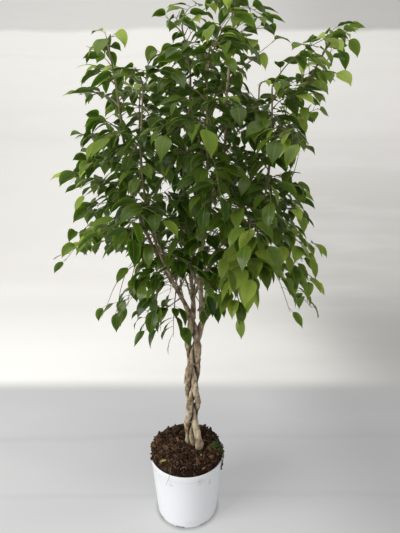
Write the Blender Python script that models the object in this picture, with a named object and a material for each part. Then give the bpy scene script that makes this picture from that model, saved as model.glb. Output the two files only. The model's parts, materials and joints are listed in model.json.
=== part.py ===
"""Weeping fig with three braided stems, in a round nursery pot.

Metres, +Z up. The origin is the centre of the pot's underside, and the plant is looked at from -Y.
The stems leave the soil, braid round one another and fork into leaders. Leafy shoots sit on the
leaders' bark: the ones that make the outline are placed one by one, and the ones on the front and
back leaders follow a rule. Leaves grow along every twig where they find room.
"""

import math
import random

import bpy
import numpy as np
from mathutils import Vector
from mathutils.bvhtree import BVHTree

# Pot
POT_HEIGHT = 0.185
RIM_RADIUS = 0.105
BASE_RADIUS = 0.0865
POT_WALL = 0.0018
POT_FLOOR = 0.0022
BAND_HEIGHT = 0.019
BAND_PROUD = 0.0012
CORNER = 0.003
POT_SEGMENTS = 32
DRAIN_SLOTS = 8
DRAIN_SLOT_WIDTH = 0.021
DRAIN_SLOT_HEIGHT = 0.0042
FIRST_SLOT_ANGLE = math.radians(-105.5)

# Soil, as radius and height of each ring of its heaped top
SOIL_RINGS = ((0.1005, 0.197), (0.0950, 0.2080), (0.0780, 0.2135), (0.0400, 0.2145))
SOIL_EDGE_HEIGHT = 0.187
SOIL_ROUGHNESS = 0.0012
SOIL_SEGMENTS = 24
STEM_HOLE_DEPTH = 0.060

# Fit between pieces that touch, and the room that growing pieces keep between them
TOUCH_GAP = 0.0003
ROOM = 0.0010

# Braid of the three stems
FOOT_HEIGHT = 0.214
FEET = ((0.0045, 0.0060), (0.0185, -0.0050), (0.0350, -0.0280))
BRAID_PHASES = (240.0, 0.0, 120.0)
BRAID_START = 0.262
BRAID_TOP = 0.600
BRAID_PITCH = 0.366
BRAID_HALF_WIDTH = 0.0125
BRAID_BULGE = 0.0020
BRAID_BULGE_HEIGHT = 0.437
BRAID_BULGE_SPACING = 0.086
BRAID_OPENING = 0.0035
BRAID_HALF_DEPTH = 0.0115
BRAID_SQUEEZE = 0.2
TRUNK_X_LOW = 0.0165
TRUNK_X_HIGH = 0.0240
STEM_RADIUS_LOW = 0.0083
STEM_RADIUS_HIGH = 0.0076
STEM_SIDES = 6
BRAID_STEP = 0.024

# Leaders: the stem that each is part of, its radius at its two ends, and the way it goes
LEADERS = {
    "left": ("stem_1", 0.0054, 0.0019, (
        (-0.007, 0.000, 0.648), (-0.045, -0.008, 0.719), (-0.096, -0.015, 0.831), (-0.125, -0.018, 0.920),
        (-0.139, -0.020, 1.040), (-0.147, -0.022, 1.126), (-0.160, -0.026, 1.225), (-0.167, -0.027, 1.256))),
    "centre_left": ("stem_2", 0.0056, 0.0019, (
        (0.020, 0.008, 0.655), (0.009, 0.020, 0.745), (0.000, 0.030, 0.860), (-0.001, 0.036, 0.990),
        (0.012, 0.036, 1.110), (0.015, 0.030, 1.203), (-0.003, 0.023, 1.295))),
    "centre": ("stem_3", 0.0060, 0.0020, (
        (0.040, -0.010, 0.664), (0.035, -0.016, 0.745), (0.043, -0.021, 0.835), (0.072, -0.029, 0.935),
        (0.093, -0.035, 1.030), (0.096, -0.040, 1.150), (0.104, -0.045, 1.250), (0.108, -0.046, 1.314))),
    "right": ("stem_3", 0.0050, 0.0018, (
        (0.036, -0.008, 0.618), (0.055, 0.000, 0.655), (0.104, 0.004, 0.735), (0.135, 0.001, 0.850),
        (0.163, -0.006, 0.960), (0.222, -0.016, 1.035), (0.258, -0.021, 1.120), (0.300, -0.025, 1.210),
        (0.327, -0.028, 1.263))),
    "back_left": ("stem_1", 0.0040, 0.0017, (
        (-0.036, -0.006, 0.700), (-0.055, 0.030, 0.755), (-0.088, 0.088, 0.835), (-0.113, 0.128, 0.940),
        (-0.120, 0.140, 1.060), (-0.112, 0.130, 1.190))),
    "back": ("stem_2", 0.0042, 0.0017, (
        (0.014, 0.014, 0.700), (0.022, 0.050, 0.755), (0.032, 0.105, 0.845), (0.036, 0.145, 0.960),
        (0.042, 0.160, 1.090), (0.052, 0.150, 1.250))),
    "back_right": ("stem_3", 0.0038, 0.0017, (
        (0.095, 0.003, 0.720), (0.120, 0.040, 0.775), (0.155, 0.092, 0.860), (0.180, 0.124, 0.960),
        (0.194, 0.135, 1.070), (0.196, 0.126, 1.190))),
    "front_left": ("stem_1", 0.0038, 0.0017, (
        (-0.018, -0.002, 0.668), (-0.034, -0.046, 0.720), (-0.062, -0.100, 0.805), (-0.082, -0.138, 0.905),
        (-0.088, -0.150, 1.020), (-0.080, -0.140, 1.150))),
    "front": ("stem_3", 0.0038, 0.0017, (
        (0.036, -0.014, 0.715), (0.038, -0.055, 0.765), (0.044, -0.110, 0.850), (0.046, -0.150, 0.955),
        (0.046, -0.168, 1.080), (0.044, -0.160, 1.200))),
    "front_right": ("stem_3", 0.0036, 0.0017, (
        (0.084, 0.002, 0.700), (0.112, -0.042, 0.750), (0.148, -0.096, 0.820), (0.170, -0.128, 0.910),
        (0.180, -0.140, 1.020), (0.178, -0.134, 1.150))),
}
OWN_LEADERS = {"stem_1": "left", "stem_2": "centre_left", "stem_3": "centre"}
LEADER_SIDES = 5
LEADER_STEP = 0.060

# Shoots of the outline: leader, height where each leaves it, its tip, how far it arches, side tips
OUTLINE_SHOOTS = (
    ("left", 1.238, (-0.180, 0.015, 1.285), 0.010, ((-0.135, -0.025, 1.250),)),
    ("left", 1.160, (-0.215, -0.045, 1.210), 0.020, ((-0.220, -0.035, 1.180),)),
    ("left", 1.120, (-0.285, 0.055, 1.150), 0.040, ((-0.235, 0.025, 1.130),)),
    ("left", 1.055, (-0.190, -0.155, 1.085), 0.020, ((-0.190, 0.065, 1.065),)),
    ("left", 1.010, (-0.290, 0.115, 1.065), 0.030, ((-0.220, -0.085, 1.040),)),
    ("left", 0.970, (-0.230, -0.145, 1.000), 0.030, ((-0.245, 0.045, 1.020),)),
    ("left", 0.925, (-0.335, 0.065, 0.955), 0.030, ((-0.300, 0.015, 0.925),)),
    ("left", 0.885, (-0.235, -0.155, 0.895), 0.035, ((-0.245, 0.005, 0.840),)),
    ("left", 0.850, (-0.350, 0.035, 0.720), 0.060, ((-0.260, -0.135, 0.830), (-0.270, -0.040, 0.775))),
    ("front_left", 0.840, (-0.210, -0.150, 0.815), 0.035, ((-0.165, -0.190, 0.810),)),
    ("left", 0.795, (-0.140, -0.165, 0.750), 0.040, ((-0.115, -0.125, 0.780),)),
    ("left", 0.765, (-0.245, 0.045, 0.575), 0.050, ((-0.170, -0.110, 0.610), (-0.150, -0.070, 0.605))),
    ("left", 0.655, (-0.130, -0.050, 0.545), 0.015, ((-0.075, -0.020, 0.520), (-0.105, 0.030, 0.605))),
    ("left", 0.680, (-0.035, -0.060, 0.515), 0.030, ((0.000, -0.030, 0.520), (-0.025, -0.100, 0.645))),
    ("centre_left", 1.130, (-0.100, -0.015, 1.200), 0.020, ((-0.125, -0.005, 1.195),)),
    ("centre_left", 1.215, (-0.040, 0.060, 1.270), 0.020, ((-0.080, -0.065, 1.205),)),
    ("centre_left", 1.280, (-0.065, -0.015, 1.310), 0.010, ((0.000, 0.075, 1.350),)),
    ("right", 1.250, (0.400, 0.015, 1.300), 0.010, ((0.375, -0.015, 1.230),)),
    ("right", 1.180, (0.345, -0.115, 1.160), 0.020, ((0.355, 0.015, 1.270),)),
    ("right", 1.150, (0.285, 0.075, 1.265), 0.010, ((0.260, -0.005, 1.210), (0.265, -0.100, 1.260))),
    ("right", 1.085, (0.205, -0.015, 1.150), 0.010, ((0.250, -0.045, 1.175),)),
    ("right", 1.060, (0.370, 0.105, 1.135), 0.020, ((0.280, -0.095, 1.080),)),
    ("right", 0.995, (0.285, -0.115, 1.020), 0.030, ((0.270, 0.055, 1.070),)),
    ("right", 0.920, (0.275, 0.005, 0.975), 0.025, ((0.315, 0.005, 0.915),)),
    ("right", 0.880, (0.300, -0.085, 0.900), 0.030, ((0.310, -0.065, 0.845),)),
    ("right", 0.845, (0.390, 0.065, 0.745), 0.045, ((0.355, 0.025, 0.710),)),
    ("right", 0.790, (0.275, -0.125, 0.615), 0.070, ((0.375, 0.015, 0.660), (0.385, 0.090, 0.555))),
    ("front_right", 0.800, (0.155, -0.225, 0.700), 0.040, ((0.180, -0.205, 0.735),)),
    ("front_right", 0.745, (0.135, -0.135, 0.600), 0.030, ((0.105, -0.170, 0.655),)),
    ("right", 0.675, (0.080, -0.080, 0.615), 0.020, ((0.055, -0.030, 0.585),)),
    ("centre", 1.300, (0.120, -0.005, 1.370), 0.005, ((0.150, -0.025, 1.350), (0.080, -0.105, 1.305))),
    ("centre", 1.230, (0.035, -0.090, 1.245), 0.010, ((0.190, -0.005, 1.315),)),
    ("centre", 1.165, (0.235, -0.015, 1.275), 0.012, ((0.165, -0.095, 1.190),)),
    ("front", 0.820, (0.045, -0.215, 0.800), 0.025, ((0.010, -0.180, 0.840),)),
    ("centre", 1.110, (0.035, -0.155, 1.155), 0.015, ((0.080, -0.105, 1.165),)),
    ("centre", 1.050, (0.180, -0.015, 1.145), 0.015, ((0.205, -0.055, 1.140),)),
)

# Leaders of the front and back with how far their shoots are moved up, and the shoots of each by its
# side of the plant: how far up the leader, reach outwards, drop, turn to a side
RULED_LEADERS = {
    "back_left": 0.06, "back": -0.05, "back_right": 0.06,
    "front_left": 0.03, "front": -0.07, "front_right": 0.00,
}
RULED_SHOOTS = {
    "back": ((0.22, 0.180, 0.140, 30.0), (0.57, 0.155, 0.020, -34.0), (0.985, 0.110, -0.050, 18.0)),
    "front": ((0.42, 0.165, 0.065, 34.0), (0.72, 0.150, 0.000, -36.0), (0.985, 0.090, -0.080, 20.0)),
}
RULED_ARCH = 0.035
SIDE_TWIGS_AT = {"back": (0.30, 0.48, 0.66, 0.84), "front": (0.42, 0.68)}
SIDE_TWIG_ANGLE = 52.0
SIDE_TWIG_SHARE = 0.42
SIDE_TWIG_DROP = 0.22
LISTED_SIDE_AT = (0.45, 0.30)
LISTED_SIDE_ARCH = 0.015
CROWN_AXIS = (0.030, 0.000)
TIP_BACK = 0.03
TIP_LIFT = 0.006
TIP_LIFT_BELOW = 0.90
TIP_BACK_STEPS = 24
TIP_ROOM = 0.045

# Crown's outline seen from the front, as x and height where the line of sight meets the plane y = 0
EYE = (0.0, -1.04, 1.013)
OUTLINE = (
    (-0.07, 1.33), (-0.01, 1.37), (0.07, 1.40), (0.14, 1.40), (0.21, 1.33), (0.25, 1.31), (0.24, 1.27),
    (0.18, 1.27), (0.19, 1.22), (0.15, 1.19), (0.15, 1.16), (0.19, 1.13), (0.21, 1.18), (0.26, 1.20),
    (0.27, 1.26), (0.36, 1.32), (0.41, 1.30), (0.38, 1.27), (0.39, 1.18), (0.35, 1.18), (0.33, 1.11),
    (0.30, 1.07), (0.32, 1.02), (0.27, 1.01), (0.27, 0.95), (0.33, 0.91), (0.32, 0.82), (0.37, 0.78),
    (0.35, 0.70), (0.38, 0.66), (0.34, 0.65), (0.36, 0.59), (0.31, 0.56), (0.28, 0.58), (0.26, 0.68),
    (0.22, 0.67), (0.20, 0.62), (0.17, 0.61), (0.15, 0.54), (0.12, 0.59), (0.05, 0.58), (0.03, 0.49),
    (-0.04, 0.49), (-0.14, 0.52), (-0.18, 0.57), (-0.24, 0.59), (-0.24, 0.62), (-0.17, 0.66),
    (-0.13, 0.76), (-0.20, 0.77), (-0.31, 0.77), (-0.33, 0.72), (-0.35, 0.76), (-0.30, 0.80),
    (-0.25, 0.84), (-0.29, 0.88), (-0.28, 0.92), (-0.33, 0.96), (-0.24, 1.01), (-0.27, 1.06),
    (-0.23, 1.09), (-0.23, 1.13), (-0.28, 1.15), (-0.23, 1.19), (-0.23, 1.23), (-0.17, 1.29),
    (-0.13, 1.27), (-0.14, 1.22), (-0.09, 1.21), (-0.04, 1.26), (-0.04, 1.31),
)

# Twigs
TWIG_RADIUS = 0.0021
TWIG_TIP_RADIUS = 0.0015
SIDE_RADIUS = 0.0017
SEAT_STEP = 0.0004
SEAT_STEPS = 60
SEAT_LENGTH = 0.012
TWIG_SIDES = 3
TWIG_POINTS = 5
SIDE_POINTS = 3
ROOT_SKIP = 0.007
TWIG_TRIES = 24

# Leaves
AIM_LENGTH = 0.048
AIM_DROP = 0.010
AIM_TRIES = 60
BLADE_LENGTHS = (0.043, 0.064)
BLADE_WIDTH_SHARE = (0.46, 0.55)
STALK_LENGTHS = (0.011, 0.016)
STALK_RADIUS = 0.00065
BLADE_STATIONS = ((0.36, 1.0), (0.70, 0.66))
CUP = 0.0009
KEEL = 0.0005
LEAF_SLOT = 0.0176
BARE_SHARE = 0.26
TERMINAL_INSET = 0.004
LEAF_TRIES = 24
LEAF_ROOT_SKIP = 0.0055
# How steeply a leaf's tip hangs, in degrees, for leaves that grow below each height
FALLS_BELOW = ((0.75, (-88, -48)), (1.10, (-80, -22)), (9.0, (-62, -8)))
BEND_POWER = 0.75
LEAST_BEND = math.radians(10)
SEED = 2024

# Fallen leaf on the soil
FALLEN_AT = (-0.063, -0.070)
FALLEN_LENGTH = 0.019
FALLEN_HALF_WIDTH = 0.0042
FALLEN_THICKNESS = 0.0008
FALLEN_ANGLE = math.radians(28)

FINISHES = {
    "pot": ((0.86, 0.87, 0.88), 0.38),
    "soil": ((0.040, 0.024, 0.015), 0.95),
    "bark": ((0.30, 0.235, 0.165), 0.85),
    "leaf": ((0.050, 0.150, 0.028), 0.38),
    "fallen_leaf": ((0.35, 0.40, 0.08), 0.60),
}


# Small helpers


def smooth(t):
    t = min(max(t, 0.0), 1.0)
    return t * t * (3 - 2 * t)


def mix(a, b, t):
    return a + (b - a) * t


def finish(name):
    colour, roughness = FINISHES[name]
    material = bpy.data.materials.new(name)
    material.use_nodes = True
    shader = material.node_tree.nodes["Principled BSDF"]
    shader.inputs["Base Color"].default_value = (*colour, 1.0)
    shader.inputs["Roughness"].default_value = roughness
    shader.inputs["Metallic"].default_value = 0.0
    material.diffuse_color = (*colour, 1.0)
    return material


def loft(rings, apex=None):
    """Closed shape through rings that turn anticlockwise as seen from its far end."""
    sides = len(rings[0])
    points = [point for ring in rings for point in ring]
    faces = [tuple(range(sides - 1, -1, -1))]
    for start in range(0, len(points) - sides, sides):
        for j in range(sides):
            a, b = start + j, start + (j + 1) % sides
            faces.append((a, b, b + sides, a + sides))
    last = len(points) - sides
    if apex is None:
        faces.append(tuple(range(last, last + sides)))
    else:
        faces += [(last + j, last + (j + 1) % sides, len(points)) for j in range(sides)]
        points.append(apex)
    return points, faces


def tube(path, radii, sides, heading=None):
    """Closed tube along a path, its section carried on without twist; its first end can face a heading."""
    rings = []
    across = None
    for i, point in enumerate(path):
        ahead = path[min(i + 1, len(path) - 1)] - path[max(i - 1, 0)]
        if i == 0 and heading:
            ahead = heading.copy()
        ahead.normalize()
        if across is None:
            across = ahead.orthogonal()
        across = (across - ahead * across.dot(ahead)).normalized()
        other = ahead.cross(across)
        turns = [2 * math.pi * j / sides for j in range(sides)]
        rings.append([point + radii[i] * (math.cos(a) * across + math.sin(a) * other) for a in turns])
    return loft(rings)


def spline(points, step):
    """Points about a step apart on a smooth curve through the given ones."""
    padded = [2 * points[0] - points[1], *points, 2 * points[-1] - points[-2]]
    found = []
    for a, b, c, d in zip(padded, padded[1:], padded[2:], padded[3:]):
        count = max(1, round((c - b).length / step))
        for k in range(count):
            t = k / count
            found.append(0.5 * ((2 * b) + (c - a) * t + (2 * a - 5 * b + 4 * c - d) * t * t
                                + (3 * b - a - 3 * c + d) * t ** 3))
    return [*found, points[-1].copy()]


def mesh_of(name, shape, material):
    points, faces = shape
    mesh = bpy.data.meshes.new(name)
    mesh.from_pydata(points, [], faces)
    mesh.materials.append(material)
    return mesh


def rounded(body):
    body.data.shade_smooth()
    body.data.set_sharp_from_angle(angle=math.radians(40))
    return body


def boolean(body, shapes, operation, material):
    """Joins shapes to a body, or cuts them from it, in one Boolean, and applies it."""
    others = bpy.data.collections.new(body.name + "_others")
    bpy.context.scene.collection.children.link(others)
    for number, shape in enumerate(shapes):
        name = f"{body.name}_{operation.lower()}_{number}"
        other = bpy.data.objects.new(name, mesh_of(name, shape, material))
        other.hide_render = True
        other.display_type = "WIRE"
        others.objects.link(other)
    modifier = body.modifiers.new(operation.title(), "BOOLEAN")
    modifier.operation = operation
    modifier.operand_type = "COLLECTION"
    modifier.collection = others
    modifier.solver = "EXACT"
    joined = bpy.data.meshes.new_from_object(body.evaluated_get(bpy.context.evaluated_depsgraph_get()))
    body.modifiers.clear()
    body.data = joined
    for other in list(others.objects):
        bpy.data.meshes.remove(other.data)
    bpy.data.collections.remove(others)


def solid(name, shapes, material):
    """A node: its first shape, with any others fused to it."""
    body = bpy.data.objects.new(name, mesh_of(name, shapes[0], material))
    bpy.context.scene.collection.objects.link(body)
    if len(shapes) > 1:
        boolean(body, shapes[1:], "UNION", material)
    body.data.name = name
    return rounded(body)


class Space:
    """What has its place already, so that nothing new grows through it."""

    def __init__(self):
        self.trees = []
        self.boxes = np.empty((0, 2, 3))

    def tree_and_box(self, shape):
        corners = np.array([tuple(point) for point in shape[0]])
        return BVHTree.FromPolygons(*shape), np.array([[corners.min(axis=0), corners.max(axis=0)]])

    def claim(self, shape):
        tree, box = self.tree_and_box(shape)
        self.trees.append(tree)
        self.boxes = np.concatenate([self.boxes, box])

    def is_free(self, shape):
        tree, box = self.tree_and_box(shape)
        near = (self.boxes[:, 0] < box[0, 1]).all(axis=1) & (self.boxes[:, 1] > box[0, 0]).all(axis=1)
        return not any(tree.overlap(self.trees[i]) for i in np.flatnonzero(near))


# Pot


def circle(radius, height, segments):
    turns = [2 * math.pi * j / segments for j in range(segments)]
    return [Vector((radius * math.cos(a), radius * math.sin(a), height)) for a in turns]


def pot_radius(height):
    return mix(BASE_RADIUS, RIM_RADIUS - BAND_PROUD, height / POT_HEIGHT)


def make_pot():
    band_foot = POT_HEIGHT - BAND_HEIGHT
    profile = (
        (pot_radius(POT_FLOOR) - POT_WALL - CORNER, POT_FLOOR),
        (pot_radius(2 * CORNER) - POT_WALL, 2 * CORNER),
        (pot_radius(POT_HEIGHT) - POT_WALL, POT_HEIGHT),
        (RIM_RADIUS - 0.0006, POT_HEIGHT),
        (RIM_RADIUS, POT_HEIGHT - 0.0012),
        (pot_radius(band_foot) + BAND_PROUD, band_foot + 0.0006),
        (pot_radius(band_foot), band_foot - 0.0016),
        (pot_radius(CORNER), CORNER),
        (pot_radius(0) - 0.35 * CORNER, 0.3 * CORNER),
        (pot_radius(0) - CORNER, 0.0),
    )
    rings = [circle(radius, height, POT_SEGMENTS) for radius, height in profile]
    pot = solid("pot", [loft(rings)], finish("pot"))
    slots = []
    for k in range(DRAIN_SLOTS):
        turn = FIRST_SLOT_ANGLE + 2 * math.pi * k / DRAIN_SLOTS
        out = Vector((math.cos(turn), math.sin(turn), 0))
        along = Vector((-math.sin(turn), math.cos(turn), 0))
        low, high = -0.002, DRAIN_SLOT_HEIGHT
        half = DRAIN_SLOT_WIDTH / 2
        section = [(-half, low), (half, low), (half * 0.86, high), (-half * 0.86, high)]
        ends = [BASE_RADIUS - 0.009, BASE_RADIUS + 0.006]
        slots.append(loft([[out * r + along * s + Vector((0, 0, z)) for s, z in section] for r in ends]))
    boolean(pot, slots, "DIFFERENCE", pot.data.materials[0])
    return rounded(pot)


# Soil


def soil_top(x, y):
    """Height of the soil's heaped surface, with its low lumps."""
    radius = math.hypot(x, y)
    rings = ((0.0, SOIL_RINGS[-1][1]), *reversed(SOIL_RINGS))
    height = rings[-1][1]
    for (inner, low), (outer, high) in zip(rings, rings[1:]):
        if inner <= radius <= outer:
            height = mix(low, high, (radius - inner) / (outer - inner))
    lumps = math.sin(83 * x + 1.3) * math.cos(71 * y - 0.4) + 0.6 * math.sin(151 * x - 97 * y)
    return height + SOIL_ROUGHNESS * lumps * smooth((0.1005 - radius) / 0.02)


def make_soil(feet):
    inner = [pot_radius(h) - POT_WALL - TOUCH_GAP for h in (POT_FLOOR, 2 * CORNER, POT_HEIGHT)]
    floor = POT_FLOOR + TOUCH_GAP
    rings = [
        circle(inner[0] - CORNER - TOUCH_GAP, floor, SOIL_SEGMENTS),
        circle(inner[1] - TOUCH_GAP, 2 * CORNER + TOUCH_GAP, SOIL_SEGMENTS),
        circle(inner[2] - 2 * TOUCH_GAP, SOIL_EDGE_HEIGHT, SOIL_SEGMENTS),
    ]
    for radius, _ in SOIL_RINGS:
        ring = circle(min(radius, inner[2]), 0.0, SOIL_SEGMENTS)
        rings.append([Vector((p.x, p.y, soil_top(p.x, p.y))) for p in ring])
    soil = solid("soil", [loft(rings, apex=Vector((0, 0, soil_top(0, 0))))], finish("soil"))
    holes = [tube(path, [r + TOUCH_GAP for r in radii], STEM_SIDES) for path, radii in feet]
    boolean(soil, holes, "DIFFERENCE", soil.data.materials[0])
    return rounded(soil)


# Stems and leaders


def braid_point(index, height):
    """Where a stem's axis is: a plait's figure-of-eight, from its foot in the soil to the fork."""
    phase = math.radians(BRAID_PHASES[index]) + 2 * math.pi * (height - BRAID_TOP - 0.02) / BRAID_PITCH
    bulge = math.cos(2 * math.pi * (height - BRAID_BULGE_HEIGHT) / BRAID_BULGE_SPACING)
    width = BRAID_HALF_WIDTH + BRAID_BULGE * bulge + BRAID_OPENING * smooth((height - 0.52) / 0.08)
    centre = mix(TRUNK_X_LOW, TRUNK_X_HIGH, smooth((height - 0.42) / 0.18))
    depth = BRAID_HALF_DEPTH * (math.sin(2 * phase) - BRAID_SQUEEZE * math.sin(4 * phase))
    braided = (centre + width * math.sin(phase), depth)
    risen = smooth((height - FOOT_HEIGHT) / (BRAID_START - FOOT_HEIGHT))
    x, y = (mix(FEET[index][i], braided[i], risen) for i in range(2))
    return Vector((x, y, height))


def nearest_distance(point, path):
    """Distance from a point to a path of straight pieces."""
    best = 1.0
    for a, b in zip(path, path[1:]):
        t = min(max((point - a).dot(b - a) / (b - a).length_squared, 0.0), 1.0)
        best = min(best, (point - a.lerp(b, t)).length)
    return best


def room_beside(path, k, others):
    """Least distance to other paths from the two pieces of a path that meet at its point k."""
    found = []
    for end in {max(k - 1, 0), min(k + 1, len(path) - 1)}:
        for share in (0.0, 0.25, 0.5, 0.75):
            point = path[k].lerp(path[end], share)
            found += [nearest_distance(point, other) for other in others]
    return min(found)


def stem_paths():
    """Axis and radii of each stem from below the soil to its own leader's top."""
    foot = FOOT_HEIGHT - STEM_HOLE_DEPTH
    count = round((BRAID_TOP - foot) / BRAID_STEP)
    heights = [mix(foot, BRAID_TOP, k / count) for k in range(count + 1)]
    axes = [[braid_point(i, z) for z in heights] for i in range(3)]
    found = {}
    for i, (stem, leader) in enumerate(OWN_LEADERS.items()):
        others = axes[:i] + axes[i + 1:]
        radii = []
        for k, point in enumerate(axes[i]):
            wanted = mix(STEM_RADIUS_LOW, STEM_RADIUS_HIGH, smooth((point.z - FOOT_HEIGHT) / 0.12))
            radii.append(min(wanted, room_beside(axes[i], k, others) / 2 - TOUCH_GAP))
        _, first, last, way = LEADERS[leader]
        above = spline([axes[i][-2], axes[i][-1], *map(Vector, way)], LEADER_STEP)[1:]
        above = [point for point in above if point.z > axes[i][-1].z + 0.5 * BRAID_STEP]
        share = [k / (len(above) - 1) for k in range(len(above))]
        found[stem] = (axes[i] + above, radii + [mix(first, last, t ** 0.8) for t in share])
    return found


def leader_path(name):
    _, first, last, way = LEADERS[name]
    path = spline([Vector(point) for point in way], LEADER_STEP)
    return path, [mix(first, last, (k / (len(path) - 1)) ** 0.8) for k in range(len(path))]


def point_at_height(path, height):
    """Point and direction of an upward path at a height."""
    for a, b in zip(path, path[1:]):
        if a.z <= height <= b.z:
            return a.lerp(b, (height - a.z) / (b.z - a.z)), (b - a).normalized()
    return path[-1].copy(), (path[-1] - path[-2]).normalized()


# Shoots


def arch(start, heading, tip, count):
    """Points of a twig that leaves along a heading and bends over to its tip."""
    middle = start + heading * (tip - start).length * 0.5
    shares = [k / (count - 1) for k in range(count)]
    return [(1 - t) ** 2 * start + 2 * t * (1 - t) * middle + t * t * tip for t in shares]


def turned(vector, degrees):
    """A vector turned about the vertical."""
    a = math.radians(degrees)
    return Vector((vector.x * math.cos(a) - vector.y * math.sin(a),
                   vector.x * math.sin(a) + vector.y * math.cos(a), vector.z))


def plant_side(leader):
    """Whether a leader with ruled shoots is at the front or the back."""
    return leader.split("_")[0]


def ruled_shoots(paths):
    """Shoots that leave a front or back leader by turns to its left and right, outwards."""
    found = []
    for name, higher in RULED_LEADERS.items():
        path = paths[name]
        low, high = path[1].z, path[-1].z
        shoots = RULED_SHOOTS[plant_side(name)]
        for share, reach, drop, turn in shoots:
            height = mix(low, high, min(share + higher, shoots[-1][0]))
            base, _ = point_at_height(path, height)
            outward = Vector((base.x - CROWN_AXIS[0], base.y - CROWN_AXIS[1], 0)).normalized()
            tip = base + turned(outward, turn) * reach - Vector((0, 0, drop))
            found.append((name, height, tuple(tip), RULED_ARCH, None))
    return found


def side_tips(path, shares):
    """Tips of the side twigs that a twig has by rule, by turns to its left and right."""
    found = []
    length = sum((b - a).length for a, b in zip(path, path[1:]))
    for side, share in zip((1, -1, 1, -1), shares):
        base, ahead = along(path, share * length)
        level = Vector((ahead.x, ahead.y, 0.25 * ahead.z)).normalized()
        reach = max(SIDE_TWIG_SHARE * length, 0.045)
        tip = base + turned(level, side * SIDE_TWIG_ANGLE) * reach - Vector((0, 0, SIDE_TWIG_DROP * reach))
        found.append((share, tip))
    return found


def along(path, distance):
    """Point and direction a distance along a path."""
    for a, b in zip(path, path[1:]):
        piece = (b - a).length
        if distance <= piece:
            return a.lerp(b, distance / piece), (b - a).normalized()
        distance -= piece
    return path[-1].copy(), (path[-1] - path[-2]).normalized()


def trimmed(path, skip):
    """The path without its first stretch."""
    first, _ = along(path, skip)
    gone = 0.0
    rest = [first]
    for a, b in zip(path, path[1:]):
        gone += (b - a).length
        if gone > skip + 0.0005:
            rest.append(b)
    return rest


def taper(path, first, last, extra=0.0):
    return [mix(first, last, k / (len(path) - 1)) + extra for k in range(len(path))]


def inside(point):
    """Whether a point lies within the crown's outline, as seen from the front."""
    share = EYE[1] / (EYE[1] - point.y)
    x = mix(EYE[0], point.x, share)
    z = mix(EYE[2], point.z, share)
    crossings = 0
    for (x1, z1), (x2, z2) in zip(OUTLINE, (*OUTLINE[1:], OUTLINE[0])):
        if (z1 > z) != (z2 > z) and x < mix(x1, x2, (z - z1) / (z2 - z1)):
            crossings += 1
    return crossings % 2 == 1


def drawn_in(start, heading, tip):
    """A twig's tip, moved back towards its start until a leaf at the tip stays within the outline."""
    lift = Vector((0, 0, TIP_LIFT if tip.z < TIP_LIFT_BELOW else 0.0))
    for step in range(TIP_BACK_STEPS):
        moved = tip.lerp(start, TIP_BACK * step) + lift * step
        path = arch(start, heading, moved, TWIG_POINTS)
        if inside(moved) and inside(moved + (path[-1] - path[-2]).normalized() * TIP_ROOM):
            break
    return moved


def short_of(start, aim):
    """Where a twig ends so that its last leaf can reach an aim."""
    back = min(AIM_LENGTH, 0.5 * (aim - start).length)
    return aim + (start - aim).normalized() * back + Vector((0, 0, AIM_DROP))


def grow_twig(space, start, heading, tip, count, radius, skip, rng):
    """A twig's points, its tip moved a little until the twig runs clear of everything else."""
    for attempt in range(TWIG_TRIES):
        moved = tip + Vector([rng.uniform(-1, 1) * 0.0022 * attempt for _ in range(3)])
        path = arch(start, heading, moved, count)
        rest = trimmed(path, skip)
        if space.is_free(tube(rest, taper(rest, radius, TWIG_TIP_RADIUS, ROOM), TWIG_SIDES)):
            return path
    return None


def seat(space, base, heading):
    """Where a twig that leaves a leader's axis along a heading comes clear of the leader's bark."""
    for step in range(SEAT_STEPS):
        start = base + heading * SEAT_STEP * step
        first = tube([start, start + heading * SEAT_LENGTH], [TWIG_RADIUS] * 2, TWIG_SIDES)
        if space.is_free(first):
            return start + heading * TOUCH_GAP
    return None


def grow_shoot(space, number, spec, leader):
    """One shoot's heading where it leaves its leader, and its twigs, each with what its last leaf aims at."""
    leader_name, height, tip, lift, listed = spec
    rng = random.Random(SEED + number)
    tip = Vector(tip)
    base, _ = point_at_height(leader, height)
    heading = ((tip - base) * 0.5 + Vector((0, 0, 1.6 * lift))).normalized()
    start = seat(space, base, heading)
    if start is None:
        return None
    end = drawn_in(start, heading, tip) if listed is None else short_of(start, tip)
    main = grow_twig(space, start, heading, end, TWIG_POINTS, TWIG_RADIUS, SEAT_LENGTH, rng)
    if main is None:
        return None
    space.claim(tube(main, taper(main, TWIG_RADIUS, TWIG_TIP_RADIUS), TWIG_SIDES, heading))
    twigs = [(main, None if listed is None else tip)]
    leaving = heading
    length = sum((b - a).length for a, b in zip(main, main[1:]))
    if listed is None:
        wanted = side_tips(main, SIDE_TWIGS_AT[plant_side(leader_name)])
    else:
        wanted = [(LISTED_SIDE_AT[k], Vector(tip)) for k, tip in enumerate(listed)]
    for share, tip in wanted:
        base, ahead = along(main, share * length)
        heading = ((tip - base) * 0.5 + Vector((0, 0, LISTED_SIDE_ARCH)) + ahead * 0.012).normalized()
        end = drawn_in(base, heading, tip) if listed is None else short_of(base, tip)
        side = grow_twig(space, base, heading, end, SIDE_POINTS, SIDE_RADIUS, ROOT_SKIP, rng)
        if side is not None:
            rest = trimmed(side, ROOT_SKIP)
            space.claim(tube(rest, taper(rest, SIDE_RADIUS, TWIG_TIP_RADIUS), TWIG_SIDES))
            twigs.append((side, None if listed is None else tip))
    return leaving, twigs


# Leaves


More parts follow.
